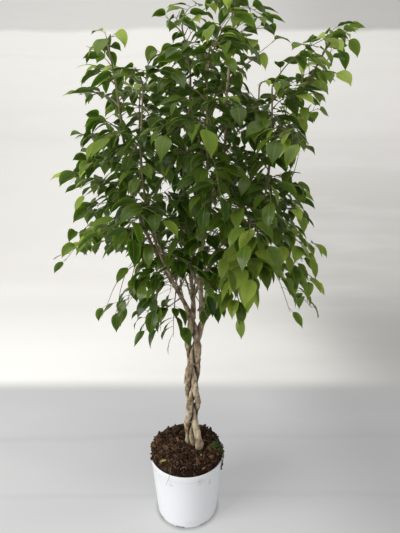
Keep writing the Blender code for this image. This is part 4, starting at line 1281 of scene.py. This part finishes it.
def bladeTemplate():
    # faces of one leaf with, for each corner: along, across, underside or not, stalk or not, chart
    rows, columns = len(blade["outline"]), blade["columns"]
    topCount, tip = rows * columns, rows * columns + rows * (columns - 2)
    alongOf = [share for share, _ in blade["outline"]]
    faces, corners = [], []

    def top(i, j):
        return i * columns + j

    def under(i, j):
        return top(i, j) if j in (0, columns - 1) else topCount + i * (columns - 2) + j - 1

    def face(isUnder, vertexAt, *members):
        # each member is a row and a column, or the tip
        faces.append(tuple(tip if i == rows else vertexAt(i, j) for i, j in members))
        for i, j in members:
            place = (1.0, 0.5) if i == rows else (alongOf[i], j / (columns - 1))
            corners.append((*place, isUnder, 0, isUnder))

    for i in range(rows - 1):
        for j in range(columns - 1):
            face(0, top, (i, j), (i + 1, j), (i + 1, j + 1), (i, j + 1))
            face(1, under, (i, j), (i, j + 1), (i + 1, j + 1), (i + 1, j))
    for j in range(columns - 1):
        face(0, top, (rows - 1, j), (rows, j), (rows - 1, j + 1))
        face(1, under, (rows - 1, j), (rows - 1, j + 1), (rows, j))
    ring = [top(0, j) for j in range(columns)] + [under(0, j) for j in range(columns - 2, 0, -1)]
    faces.append(tuple(ring))
    corners += [(0.0, 0.5, 1, 0, 1)] * len(ring)
    rings, sides = blade["stalkRings"], blade["stalkSides"]
    faces += [tuple(tip + 1 + k for k in members) for members in tubeFaces(rings, sides)]
    corners += [(u, v, 0, 1, 2) for u, v in tubeCorners(rings, sides)]
    return faces, np.array(corners, float)


bladeFaces, bladeCorners = bladeTemplate()


def bladePoints(frames, rng):
    # the points of many fine leaves at once, one row of points for each
    facts = np.array([frame[4] for frame in frames])
    base = facts[:, :3]
    heading, rise, fall, roll, length, width, stalk = facts[:, 3:].T[..., None]
    rise, fall = rise + blade["rise"], fall + blade["fall"]
    shares, halves = np.array(blade["outline"]).T
    whole = stalk + length
    stalkAt = np.linspace(0, 1, blade["stalkRings"])
    distances = np.concatenate([stalk * stalkAt, stalk + length * shares, whole], axis=1)
    parts = blade["steps"]
    tilts = rise + (fall - rise) * np.linspace(0, 1, parts + 1) ** leaf["bendPower"]
    steps = whole / parts
    where = distances / whole * parts
    low = np.minimum(where.astype(int), parts - 1)
    part = where - low

    def walked(wave):
        # how far the midrib has come at each distance, summed over small steps
        sums = np.cumsum(0.5 * (wave[:, 1:] + wave[:, :-1]), 1)
        sums = np.concatenate([np.zeros_like(steps), sums], 1)
        first, second = (np.take_along_axis(sums, low + k, 1) for k in (0, 1))
        return (steps * ((1 - part) * first + part * second))[..., None]

    tilt = (rise + (fall - rise) * (distances / whole) ** leaf["bendPower"])[..., None]
    forward = np.stack([np.cos(heading), np.sin(heading), 0 * heading], axis=-1)
    sideways = np.stack([-np.sin(heading), np.cos(heading), 0 * heading], axis=-1)
    upward = np.array([0.0, 0.0, 1.0])
    middle = base[:, None] + forward * walked(np.cos(tilts)) + upward * walked(np.sin(tilts))
    normal = upward * np.cos(tilt) - forward * np.sin(tilt)
    lead = forward * np.cos(tilt) + upward * np.sin(tilt)
    rolled = roll[..., None] * np.clip((distances / whole)[..., None] * 4, 0, 1)
    across = sideways * np.cos(rolled) + normal * np.sin(rolled)
    normal = np.cross(lead, across)
    count = len(frames)
    draw = np.array([[rng.random() for _ in range(8)] for _ in range(count)])
    rings, span = blade["stalkRings"], np.linspace(-1, 1, blade["columns"])
    at = slice(rings, rings + len(shares))
    half = (0.5 * width * halves)[..., None]
    fold, rounding, wave, waves = (mix(*blade[name], draw[:, k:k + 1, None])
                                   for k, name in enumerate(("fold", "round", "wave", "waves")))
    phase = waves * shares[None, :, None] + draw[:, 4:5, None] + 0.5 * (span > 0) + 0.15
    phase = 2 * pi * phase
    lift = half * (fold * np.abs(span) - rounding * span ** 2 + wave * np.sin(phase) * span ** 2)
    spread = half * span * np.cos(0.6 * fold)
    top = middle[:, at, None] + across[:, at, None] * spread[..., None]
    top = top + normal[:, at, None] * lift[..., None]
    thick = blade["thickness"] * (1 - 0.55 * np.abs(span))
    thick = thick * (0.35 + 0.65 * np.minimum(1, halves * 3))[:, None]
    thick = thick + blade["keel"] * (span == 0) * (1 - shares)[:, None]
    under = top - normal[:, at, None] * thick[None, ..., None]
    stalkShare = np.array(blade["stalkShares"])[None, :, None, None] * blade["stalkRadius"]
    turn = np.array(circle(blade["stalkSides"]))[:, None]
    ring = across[:, :rings, None] * np.cos(turn) + normal[:, :rings, None] * np.sin(turn)
    stalks = middle[:, :rings, None] + ring * stalkShare
    members = (top, under[:, :, 1:-1], middle[:, -1:], stalks)
    return np.concatenate([member.reshape(count, -1, 3) for member in members], axis=1)


def outwardShare(point):
    # 0 in the heart of the crown, 1 at its outer and upper edge
    x, y, z = point
    high = 0.48 if z > 0.90 else 0.85
    away = hypot((x - crownAxis[0]) / 0.34, (y - crownAxis[1]) / 0.60, (z - 0.90) / high)
    first, last = blade["youngAndLitFrom"]
    # the leaves low on the right count as outer too, so they turn lighter and yellower
    hanging = smooth((x - 0.03) / 0.10) * smooth((0.96 - z) / 0.14) * 0.5
    return min(1.0, smooth((away - first) / (last - first)) + hanging)


def addLeaves(bundle, frames, rng):
    # the outer leaves are the young, yellower ones, and lighter, the leaves in the heart darker:
    # partly leaf age, partly painted light on the outer leaves and painted shade in the heart
    spot, reach = blade["brightAt"]
    for frame, points in zip(frames, bladePoints(frames, rng) if frames else ()):
        base = frame[4][:3]
        outer = outwardShare(base)
        share, draw = mix(*blade["youngAndLit"], outer), rng.random()
        youngAndLit = 0.10 * outer if draw > share else mix(0.30, 1.0, draw / share)
        tone = mix(0.0, 0.50, outer) + rng.random() * mix(0.60, 0.62, outer)
        # the leaves near this spot turn yellower
        if dist(base, spot) < reach:
            youngAndLit = max(youngAndLit, 0.25 + 0.25 * tone)
        bundle.add(points, bladeFaces, bladeCorners[:, :2], bladeCorners[:, 2:4], (tone, youngAndLit),
                   bladeCorners[:, 4].astype(int))


def addTwig(bundle, path, first, last, sides, rng, heading=None, collar=1.5):
    # a smooth tapering twig with a swelling at its foot, slight joints and a pointed bud
    length = pathLength(path)
    fine = spline(path, length / max(6, round(length / 0.008)))
    ahead = (fine[-1] - fine[-2]).normalized()
    begin = (fine[1] - fine[0]).normalized() if heading is None else heading
    fine = [fine[0] - begin * 0.003, *fine, fine[-1] + ahead * 0.004, fine[-1] + ahead * 0.009]
    last = min(first, last)
    radii = [*taper(fine[2:], first, last), last * 0.95, last * 0.12]
    for k in range(1, len(fine) - 2):
        radii[k] *= 1 + (collar - 1) * exp(-(k - 1) * 1.3) + 0.10 * rng.uniform(-1, 1)
    radii[0] *= collar
    bundle.addRings(tubeRings(fine, radii, sides), side=(0, 1),
                    tone=(rng.random(), min(1.0, length / 0.3)))


def leafGreen():
    recipe = Recipe("figLeaf")
    u, v = recipe.uv("grain")
    under, wood = recipe.uv("side")
    # tone makes the leaves in the heart darker, as painted shade; the second value makes leaves
    # yellower, for young leaves and as painted light on the outer ones
    tone, youngAndLit = recipe.uv("tone")
    fromMidrib = (v * 2 - 1).size()
    midrib = 1 - fromMidrib.over(0.015, 0.075)
    veins = ((u - fromMidrib * 0.20) * 72).sine().over(0.72, 1.0) * (1 - fromMidrib.over(0.80, 1.0))
    patchy = recipe.grain(11.0, 2.0)
    dark = recipe.blend(tone, (0.005, 0.014, 0.001), (0.128, 0.188, 0.022))
    # the yellow-green of young leaves, which also paints light on the outer ones
    youngAndLitGreen = recipe.blend(tone, (0.200, 0.285, 0.035), (0.340, 0.420, 0.070))
    pale = recipe.blend(tone, (0.045, 0.090, 0.012), (0.110, 0.180, 0.024))
    twigGreen = recipe.blend(u.over(0.10, 0.80), (0.165, 0.134, 0.068), (0.110, 0.148, 0.035))
    knobs = recipe.grain(240.0, 2.0).over(0.35, 0.70)
    colour = recipe.paint(
        dark, (patchy.over(0.35, 0.70) * 0.30, (0.066, 0.115, 0.008)), (youngAndLit, youngAndLitGreen),
        (recipe.grain(46.0, 3.0).over(0.60, 0.78) * 0.16, (0.09, 0.14, 0.02)),
        (veins * 0.14 + midrib * 0.50, (0.15, 0.25, 0.035)),
        (under * 0.85, recipe.blend(midrib * 0.5 + veins * 0.2, pale, (0.19, 0.27, 0.07))),
        (wood, recipe.blend(knobs * 0.5, twigGreen, (0.23, 0.190, 0.105))))
    height = veins * -0.6 - midrib * 1.4 + recipe.grain(420.0, 2.0) * 0.5
    return recipe.surface(
        Base_Color=colour, Roughness=0.24 + 0.16 * patchy + 0.26 * under,
        Normal=recipe.bump(height, 0.0004, 0.7), Specular_IOR_Level=0.12, Coat_Weight=0.11,
        Coat_Roughness=0.16, Subsurface_Weight=0.22, Subsurface_Radius=(0.55, 1.0, 0.10),
        Subsurface_Scale=0.0025)


greenLeaf = leafGreen()


def dressShoots():
    for number, (heading, members) in shoots.items():
        rng = random.Random(seed * 3 + number)
        bundle = Bundle()
        for k, (twig, _) in enumerate(members):
            first, start = (0.0011, None) if k else (0.00145, heading)
            addTwig(bundle, twig, first, 0.0006, 6, rng, start)
        addLeaves(bundle, leaves[number], rng)
        bundle.piece(f"shoot{number:02d}", greenLeaf, "leaf", f"shoot_{number:02d}")


def dressInfill():
    for k, (name, made) in enumerate(added.items()):
        rng = random.Random(seed * 5 + k)
        bundle = Bundle()
        for heading, twig, grown in made:
            addTwig(bundle, twig, 0.0010, 0.00055, 5, rng, heading)
            addLeaves(bundle, grown, rng)
        bundle.piece("infill" + name.title().replace("_", ""), greenLeaf, "leaf")


dressShoots()
dressInfill()
print("leafy shoots made")

# stems
wood = {
    "step": 0.0040, "sides": 20, "leaderSides": 10, "leaderStep": 0.008, "fuller": 1.15,
    "wider": 1.05, "open": 0.0035, "flute": 0.15, "lump": 0.20, "fineLump": 0.20, "crease": 0.0055,
    "flare": 0.10,
    # at, size, how proud
    "knots": ((0.0240, -0.012, 0.303, 0.010, 0.0022), (0.0420, -0.024, 0.232, 0.007, 0.0026),
              (0.0100, -0.004, 0.420, 0.009, 0.0018), (0.0260, -0.010, 0.505, 0.009, 0.0018),
              (0.0360, -0.004, 0.420, 0.008, 0.0024), (0.0360, -0.004, 0.328, 0.009, 0.0024),
              (0.0320, -0.004, 0.478, 0.008, 0.0020), (-0.0060, -0.004, 0.412, 0.009, 0.0022),
              (0.0000, -0.006, 0.296, 0.011, 0.0018), (0.0160, 0.014, 0.370, 0.009, 0.0024),
              (0.0250, 0.012, 0.265, 0.009, 0.0022), (0.0080, 0.012, 0.460, 0.009, 0.0022)),
}


def barkSkin():
    recipe = Recipe("greyBark")
    x, y, z = recipe.parts(recipe.place())
    # the first value of tone is the painted shade where the braided stems lie against one another
    crease, pale = recipe.uv("tone")
    streak = recipe.grain(120.0, 4.0, recipe.vector(x, y, z * 0.40), 0.6)
    blotch = recipe.grain(34.0, 3.0)
    pore = recipe.cells(300.0, recipe.vector(x, y, z * 1.7)).over(0.16, 0.05)
    rings = recipe.grain(1.0, 3.0, recipe.vector(x * 30, y * 30, z * 150)).over(0.58, 0.70)
    colour = recipe.colours(streak, (0.34, (0.145, 0.094, 0.055)), (0.45, (0.345, 0.258, 0.163)),
                            (0.55, (0.505, 0.412, 0.282)), (0.67, (0.685, 0.595, 0.450)))
    colour = recipe.paint(
        colour, (blotch.over(0.50, 0.62) * 0.60, (0.200, 0.135, 0.085)),
        (blotch.over(0.50, 0.36) * 0.50, (0.64, 0.53, 0.37)),
        (rings * 0.45, (0.150, 0.105, 0.060)), (pore * 0.60, (0.11, 0.07, 0.045)),
        ((1 - z.over(0.205, 0.245)) * 0.45, (0.10, 0.075, 0.05)),  # darker towards the foot
        # painted shade between the braided stems
        (crease.over(0.08, 0.85) * 0.95, (0.040, 0.025, 0.013)),
        (z.over(0.70, 0.86) * (0.85 - 0.65 * pale), (0.150, 0.126, 0.064)))  # thin and green above
    height = streak * 0.9 + blotch * 0.6 - pore * 0.5 - rings * 0.5
    return recipe.surface(Base_Color=colour, Roughness=0.80, Normal=recipe.bump(height, 0.0026),
                          Specular_IOR_Level=0.15)


def radiusAlong(path, radii, point):
    _, k, t = nearest(point, path)
    return mix(radii[k], radii[k + 1], t)


def strandAt(number, z):
    # the centre of a braided stem: a little wider than its path, and open near the fork
    point, centre = braidPoint(number, z), braidCentre(z)
    wider = mix(1.0, wood["wider"], smooth((z - 0.25) / 0.05))
    opening = smooth((z - 0.50) / 0.06) * smooth((0.66 - z) / 0.06)
    wider += wood["open"] / braid["halfWidth"] * opening
    return Vector((centre + (point.x - centre) * wider, point.y * mix(1.0, 0.9, wider - 1), z))


def strandRadius(z):
    return wood["fuller"] * braidRadius(z)


def creaseShadeAt(number, point):
    # 1 where a stem lies against another one, 0 away from it: the painted shade between the braided
    # stems
    if not 0.215 < point.z < braid["top"]:
        return 0.0
    gap = min((point - strandAt(other, point.z)).length for other in range(3) if other != number)
    return exp(-max(gap - strandRadius(point.z), 0.0) / wood["crease"])


def fineStem(path, radii, number, isStem):
    braided = np.arange(0.165, braid["top"], wood["step"]) if isStem else []
    upper = [point for point in path if not isStem or point.z > braid["top"] - 0.001]
    fine = [strandAt(number, z) for z in braided] + spline(upper, wood["leaderStep"])
    sides = wood["sides"] if isStem else wood["leaderSides"]
    wide = [strandRadius(point.z) if isStem and point.z < braid["top"]
            else radiusAlong(path, radii, point) for point in fine]
    wide = [float(np.mean(wide[max(k - 2, 0):k + 3])) for k in range(len(wide))]
    if not isStem:
        wide = [r * (1 + 0.45 * exp(-k / 1.8)) for k, r in enumerate(wide)]
        wide[-1] *= 0.5
    rings = tubeRings(fine, wide, sides)
    for ring, centre in zip(rings, fine):
        for j, (point, a) in enumerate(zip(ring, circle(sides))):
            x, y, z = point
            out = point - centre
            ridge = rough(cos(a) * 1.3, sin(a) * 1.3, centre.z * 9, 1.0, 3.1 * number + 7)
            more = 1 + wood["flute"] * ridge * 1.6
            more += wood["lump"] * rough(x, y, z * 0.6, 55, 1.7 * number + 2)
            if isStem:
                more += wood["fineLump"] * rough(x, y, z * 0.8, 105, 2.3 * number + 5)
                more += wood["flare"] * smooth((0.232 - centre.z) / 0.022)
                for *at, size, proud in wood["knots"]:
                    gap = (point - Vector(at)).length
                    more += proud / out.length * exp(-(gap / size) ** 2)
            ring[j] = centre + out * more
    return rings


def makeStems():
    bark = barkSkin()
    for index, (stem, own) in enumerate(ownLeaders.items()):
        bundle = Bundle()
        others = [name for name, row in leaders.items() if row[0] == stem and name != own]
        for order, name in enumerate([own, *others]):
            rings = fineStem(paths[name], radiiOf[name], index + 3 * order, order == 0)
            points, faces = loft(rings)
            # the own stem carries the painted shade between the braided stems
            creaseShades = [0.0 if order else creaseShadeAt(index, point) for point in points]
            pale = float(name == "centre")
            bundle.addRings(rings, tone=[(creaseShades[k], pale) for face in faces for k in face])
        bundle.piece(f"stem{index + 1}", bark, "bark", stem)


def makeForkTwigs():
    rng = random.Random(seed + 31)
    bundle = Bundle()
    first, last = fork["radii"]
    for heading, twig in forkTwigs:
        addTwig(bundle, twig, first, last * 0.8, 8, rng, heading, 1.3)
    for tones in bundle.tone:
        tones[:] = 0.0
    bundle.piece("forkTwigs", bpy.data.materials["greyBark"], "bark")


makeStems()
makeForkTwigs()
print("stems made")

# soil and what lies in it
soil = {
    "rings": 64, "segments": 200, "edgeHeight": 0.187, "coarse": 0.0056, "fine": 0.0020, "seed": 77,
    "chips": 420, "crumbs": 1500, "fibres": 130,
    "rimClods": ((-0.1000, 0.018), (-0.0960, -0.032), (-0.0880, 0.044), (0.0700, 0.070),
                 (-0.0580, 0.080)),
    "clodChips": 9, "clear": 0.011,
}
# crumbs and weeds stay within this radius
litterReach = 0.1035


def heapHeight(x, y):
    # the heap's plain surface, then its lumps
    radius = hypot(x, y)
    rings = ((0.0, soilHeap[-1][1]), *reversed(soilHeap))
    rim, height = rings[-1]
    for (inner, low), (outer, high) in zip(rings, rings[1:]):
        if inner <= radius <= outer:
            height = mix(low, high, (radius - inner) / (outer - inner))
    if radius > rim:
        height = mix(height, soil["edgeHeight"], (radius - rim) / 0.0030)
    lumps = rough(x, y, 0, 62, 3.3) * soil["coarse"]
    lumps += rough(x, y, 0, 150, 9.1) * soil["coarse"] * 0.55
    lumps += rough(x, y, 0, 420, 5.7) * soil["fine"]
    return height + lumps * (0.25 + 0.75 * smooth((0.1015 - radius) / 0.008))


def darkMix():
    recipe = Recipe("pottingMix")
    coarse = recipe.grain(90.0, 5.0) + (recipe.grain(26.0, 2.0) - 0.5) * 0.55
    grit, _, _ = recipe.parts(recipe.cells(420.0, output="Color"))
    colour = recipe.colours(coarse, (0.30, (0.006, 0.004, 0.003)), (0.52, (0.022, 0.013, 0.008)),
                            (0.70, (0.060, 0.034, 0.019)), (0.86, (0.115, 0.065, 0.035)))
    colour = recipe.blend(grit.over(0.90, 0.97) * 0.6, colour, (0.16, 0.095, 0.052))
    height = coarse + recipe.grain(800.0, 3.0) * 0.4
    return recipe.surface(Base_Color=colour, Roughness=0.95, Normal=recipe.bump(height, 0.0015),
                          Specular_IOR_Level=0.06)


def barkChip():
    recipe = Recipe("barkChip")
    tone, warm = recipe.uv("tone")
    fibre = recipe.grain(260.0, 4.0, recipe.place() * recipe.vector(1.0, 0.35, 1.0))
    colour = recipe.colours(tone, (0.0, (0.014, 0.008, 0.005)), (0.45, (0.050, 0.024, 0.013)),
                            (0.75, (0.125, 0.060, 0.032)), (1.0, (0.250, 0.150, 0.085)))
    colour = recipe.paint(colour, (fibre.over(0.40, 0.72) * 0.5, (0.165, 0.095, 0.055)),
                          (warm, (0.48, 0.40, 0.28)))
    return recipe.surface(Base_Color=colour, Roughness=0.88, Normal=recipe.bump(fibre, 0.0008, 0.8),
                          Specular_IOR_Level=0.08)


def makeSoil():
    rings, segments = soil["rings"], soil["segments"]
    edge = potRadius(pot["height"]) - pot["wall"] - touchGap
    points = [(0, 0, heapHeight(0, 0))]
    for i in range(1, rings + 1):
        radius = edge * (i / rings) ** 0.9
        for a in circle(segments):
            x, y = radius * cos(a), radius * sin(a)
            points.append((x, y, heapHeight(x, y)))
    for height, less in ((0.16, 0), (0.05, 0), (0.0045, 0.002)):
        radius = potRadius(height) - pot["wall"] - 2 * touchGap - less
        points += [(radius * cos(a), radius * sin(a), height) for a in circle(segments)]
    faces = [(0, 1 + j, 1 + (j + 1) % segments) for j in range(segments)]
    faces += [(a, d, c, b) for a, b, c, d in gridFaces(rings + 3, segments, 1)]
    faces.append(tuple(range(len(points) - segments, len(points)))[::-1])
    makePiece("pottingMix", newMesh("pottingMix", points, faces), darkMix(), "soil", "soil")


def chipShape(rng, centre, size, tilt):
    # an uneven lump of wood: a short loft of ragged rings
    long = level(rng.uniform(0, 2 * pi))
    long = (long + up(tilt[0])).normalized()
    wide = long.cross(Vector((tilt[1], 0, 1)).normalized()).normalized()
    thick = wide.cross(long)
    length, width, height = size
    rings = []
    for s in (-0.5, -0.22, 0.18, 0.5):
        shrink = 1 - 0.9 * (2 * abs(s)) ** 3 * rng.uniform(0.45, 0.8)
        rings.append([centre + long * (length * (s + rng.uniform(-0.05, 0.05)))
                      + wide * (0.5 * width * shrink * cos(-a) * rng.uniform(0.8, 1.15))
                      + thick * (0.5 * height * shrink * sin(-a) * rng.uniform(0.7, 1.2))
                      for a in circle(6)])
    return loft(rings)


def leaning(rng, most):
    return rng.uniform(-most, most), rng.uniform(-most, most)


def onHeap(rng, outer):
    while True:
        x, y = leaning(rng, outer)
        clear = all(hypot(x - a, y - b) > soil["clear"] for a, b in braid["feet"])
        if hypot(x, y) < outer and clear:
            return x, y


def makeLitter():
    rng = random.Random(soil["seed"])
    chips = Bundle()
    for _ in range(soil["chips"]):
        x, y = onHeap(rng, 0.0985)
        big = rng.random() ** 2.2
        size = (mix(0.005, 0.024, big), mix(0.0035, 0.013, big), mix(0.0025, 0.0080, big))
        centre = Vector((x, y, heapHeight(x, y) + size[2] * rng.uniform(0.0, 0.5)))
        shape = chipShape(rng, centre, size, leaning(rng, 0.5))
        right = smooth((x - 0.005) / 0.05) * smooth((-y + 0.03) / 0.05)
        redder = 0.26 * max(right, smooth((-0.055 - x) / 0.03))
        tone = rng.random() ** 1.9 * 0.80 + redder + 0.55 * rough(x, y, 0, 34, 2.2)
        chips.addPlain(shape, min(1.0, max(0.0, tone)))
    for x, y in soil["rimClods"]:
        for _ in range(soil["clodChips"]):
            spot = Vector((x + rng.gauss(0, 0.004), y + rng.gauss(0, 0.007)))
            spot *= min(1.0, litterReach / spot.length)
            size = (rng.uniform(0.007, 0.015), rng.uniform(0.005, 0.009), rng.uniform(0.004, 0.007))
            centre = Vector((*spot, max(0.190, heapHeight(*spot)) + rng.uniform(0.000, 0.008)))
            shape = chipShape(rng, centre, size, leaning(rng, 0.8))
            chips.addPlain(shape, 0.25 + 0.35 * rng.random())
    chips.piece("barkChips", barkChip(), "soil", bakeMap=False)
    crumbs = Bundle()
    for _ in range(soil["crumbs"]):
        x, y = onHeap(rng, 0.1000)
        wide = mix(0.0018, 0.0052, rng.random() ** 2)
        centre = Vector((x, y, heapHeight(x, y) + wide * 0.2))
        shape = chipShape(rng, centre, (wide * 1.3, wide, wide * 0.8), leaning(rng, 1))
        pale = 0.8 if rng.random() < 0.006 else 0.0
        crumbs.addPlain(shape, rng.random() ** 2.2 * 0.7, pale)
    crumbs.piece("soilCrumbs", bpy.data.materials["barkChip"], "soil", bakeMap=False)
    fibres = Bundle()
    for _ in range(soil["fibres"]):
        x, y = onHeap(rng, 0.096)
        turn, length = rng.uniform(0, 2 * pi), rng.uniform(0.010, 0.040)
        bend = rng.uniform(-1.2, 1.2)
        path = []
        for s in (-0.5, -0.25, 0, 0.25, 0.5):
            a = turn + bend * s
            px, py = x + cos(a) * length * s, y + sin(a) * length * s
            lift = 0.0010 + 0.0025 * rng.random() * (abs(s) == 0.5)
            path.append(Vector((px, py, heapHeight(px, py) + lift)))
        fine = spline(path, 0.003)
        shape = tube(fine, [rng.uniform(0.00022, 0.00050)] * len(fine), 4)
        fibres.addPlain(shape, rng.random(), rng.uniform(0.15, 0.85))
    fibres.piece("soilFibres", bpy.data.materials["barkChip"], "soil", bakeMap=False)


makeSoil()
makeLitter()
print("soil made")

# weeds at the rim, dead roots over it, and the fallen leaf
weeds = {"at": (0.089, -0.015), "count": 150, "spread": (0.022, 0.015), "leaf": (0.0034, 0.0078),
         "lowest": 0.191, "seed": 12}
# angle, length
rimRoots = {"at": ((-24, 0.020), (-17, 0.034), (-10, 0.030), (-3, 0.012)), "seed": 5}
fallen = {"at": (-0.063, -0.070), "length": 0.019, "halfWidth": 0.0042, "angle": 28.0}


def weedGreen():
    recipe = Recipe("weedGreen")
    tone, _ = recipe.uv("tone")
    patches = recipe.grain(160.0, 2.0).over(0.4, 0.7)
    colour = recipe.blend(tone, (0.012, 0.034, 0.005), (0.060, 0.130, 0.012))
    return recipe.surface(Base_Color=recipe.blend(patches * 0.4, colour, (0.05, 0.10, 0.01)),
                          Roughness=0.55)


def deadLeaf():
    recipe = Recipe("fallenLeaf")
    _, v = recipe.uv("grain")
    midrib = 1 - (v * 2 - 1).size().over(0.04, 0.14)
    patches = recipe.grain(140.0, 3.0)
    colour = recipe.paint((0.30, 0.38, 0.055), (patches.over(0.4, 0.65), (0.43, 0.46, 0.10)),
                          (patches.over(0.62, 0.75) * 0.6, (0.28, 0.19, 0.06)),
                          (midrib * 0.5, (0.55, 0.56, 0.22)))
    return recipe.surface(Base_Color=colour, Roughness=0.5,
                          Normal=recipe.bump(patches - midrib, 0.0004, 0.6))


# share of the length, share of the width
smallOutline = ((0, 0.10), (0.18, 0.62), (0.42, 1.0), (0.68, 0.86), (0.88, 0.46), (1.0, 0.05))


def smallLeaf(bundle, base, heading, rise, length, width, tone, curl=1.2):
    # a small oval blade with two faces
    forward = level(heading)
    across = aside(forward)
    rings = []
    point, before = base.copy(), 0.0
    for share, half in smallOutline:
        tilt = rise - curl * share
        ahead = forward * cos(tilt) + up(sin(tilt))
        point = point + ahead * (share - before) * length
        before = share
        normal = ahead.cross(across)
        side = across * 0.5 * width * half
        edge, thin = normal * 0.10 * width * half, normal * 0.00022
        rings.append([point + side + edge, point + thin, point - side + edge, point - thin])
    bundle.addRings(rings, tone=(tone, 0))


def makeWeeds():
    rng = random.Random(weeds["seed"])
    bundle = Bundle()
    for _ in range(weeds["count"]):
        x, y = (at + rng.gauss(0, wide * 0.5) for at, wide in zip(weeds["at"], weeds["spread"]))
        if hypot(x, y) > litterReach:
            continue
        base = Vector((x, y, max(heapHeight(x, y), weeds["lowest"])))
        height = rng.uniform(0.001, 0.006)
        top = base + Vector((rng.uniform(-1, 1) * 0.004, rng.uniform(-1, 1) * 0.004, height))
        stalk = [base - up(0.001), base.lerp(top, 0.6), top]
        bundle.addPlain(tube(stalk, [0.0004, 0.0003, 0.00025], 4), 0.4)
        for _ in range(rng.choice((2, 3, 3))):
            length = rng.uniform(*weeds["leaf"])
            smallLeaf(bundle, top, rng.uniform(0, 2 * pi), rng.uniform(0.1, 0.8), length,
                      length * 0.62, rng.random())
    bundle.piece("rimWeeds", weedGreen(), "leaf", bakeMap=False)


def makeRimRoots():
    rng = random.Random(rimRoots["seed"])
    bundle = Bundle()
    rim = pot["rimRadius"] + 0.0012
    for angle, length in rimRoots["at"]:
        out = level(radians(angle))
        inner = out * 0.094
        path = [Vector((inner.x, inner.y, heapHeight(inner.x, inner.y) - 0.001)),
                *[out * r + up(z) for r, z in ((0.1000, 0.1990), (rim - 0.0015, 0.1885),
                                               (rim + 0.0004, 0.1835))]]
        for k in (0.35, 0.7, 1.0):
            drop = path[3].z - length * k
            lean = aside(out) * rng.uniform(-0.004, 0.004) * k
            path.append(out * (potRadius(drop) + 0.0022) + lean + up(drop))
        fine = spline(path, 0.003)
        count = len(fine)
        radii = [0.0012 * (1 - 0.5 * k / count) * rng.uniform(0.7, 1.5) for k in range(count)]
        bundle.addPlain(tube(fine, radii, 5), 0.3)
        bundle.addPlain(chipShape(rng, fine[-1], (0.009, 0.0046, 0.0040), (2.0, 0.3)), 0.2)
    bundle.piece("rimRoots", bpy.data.materials["barkChip"], "soil", bakeMap=False)


def makeFallenLeaf():
    low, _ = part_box("fallen_leaf")
    angle, length = radians(fallen["angle"]), fallen["length"]
    start = Vector((*fallen["at"], low.z + 0.0008)) - level(angle) * 0.5 * length
    bundle = Bundle()
    smallLeaf(bundle, start, angle, 0.30, length, 2.3 * fallen["halfWidth"], 0.5, 0.65)
    bundle.piece("fallenLeaf", deadLeaf(), "fallen_leaf", "fallen_leaf")


makeWeeds()
makeRimRoots()
makeFallenLeaf()
print("weeds, roots and fallen leaf made")
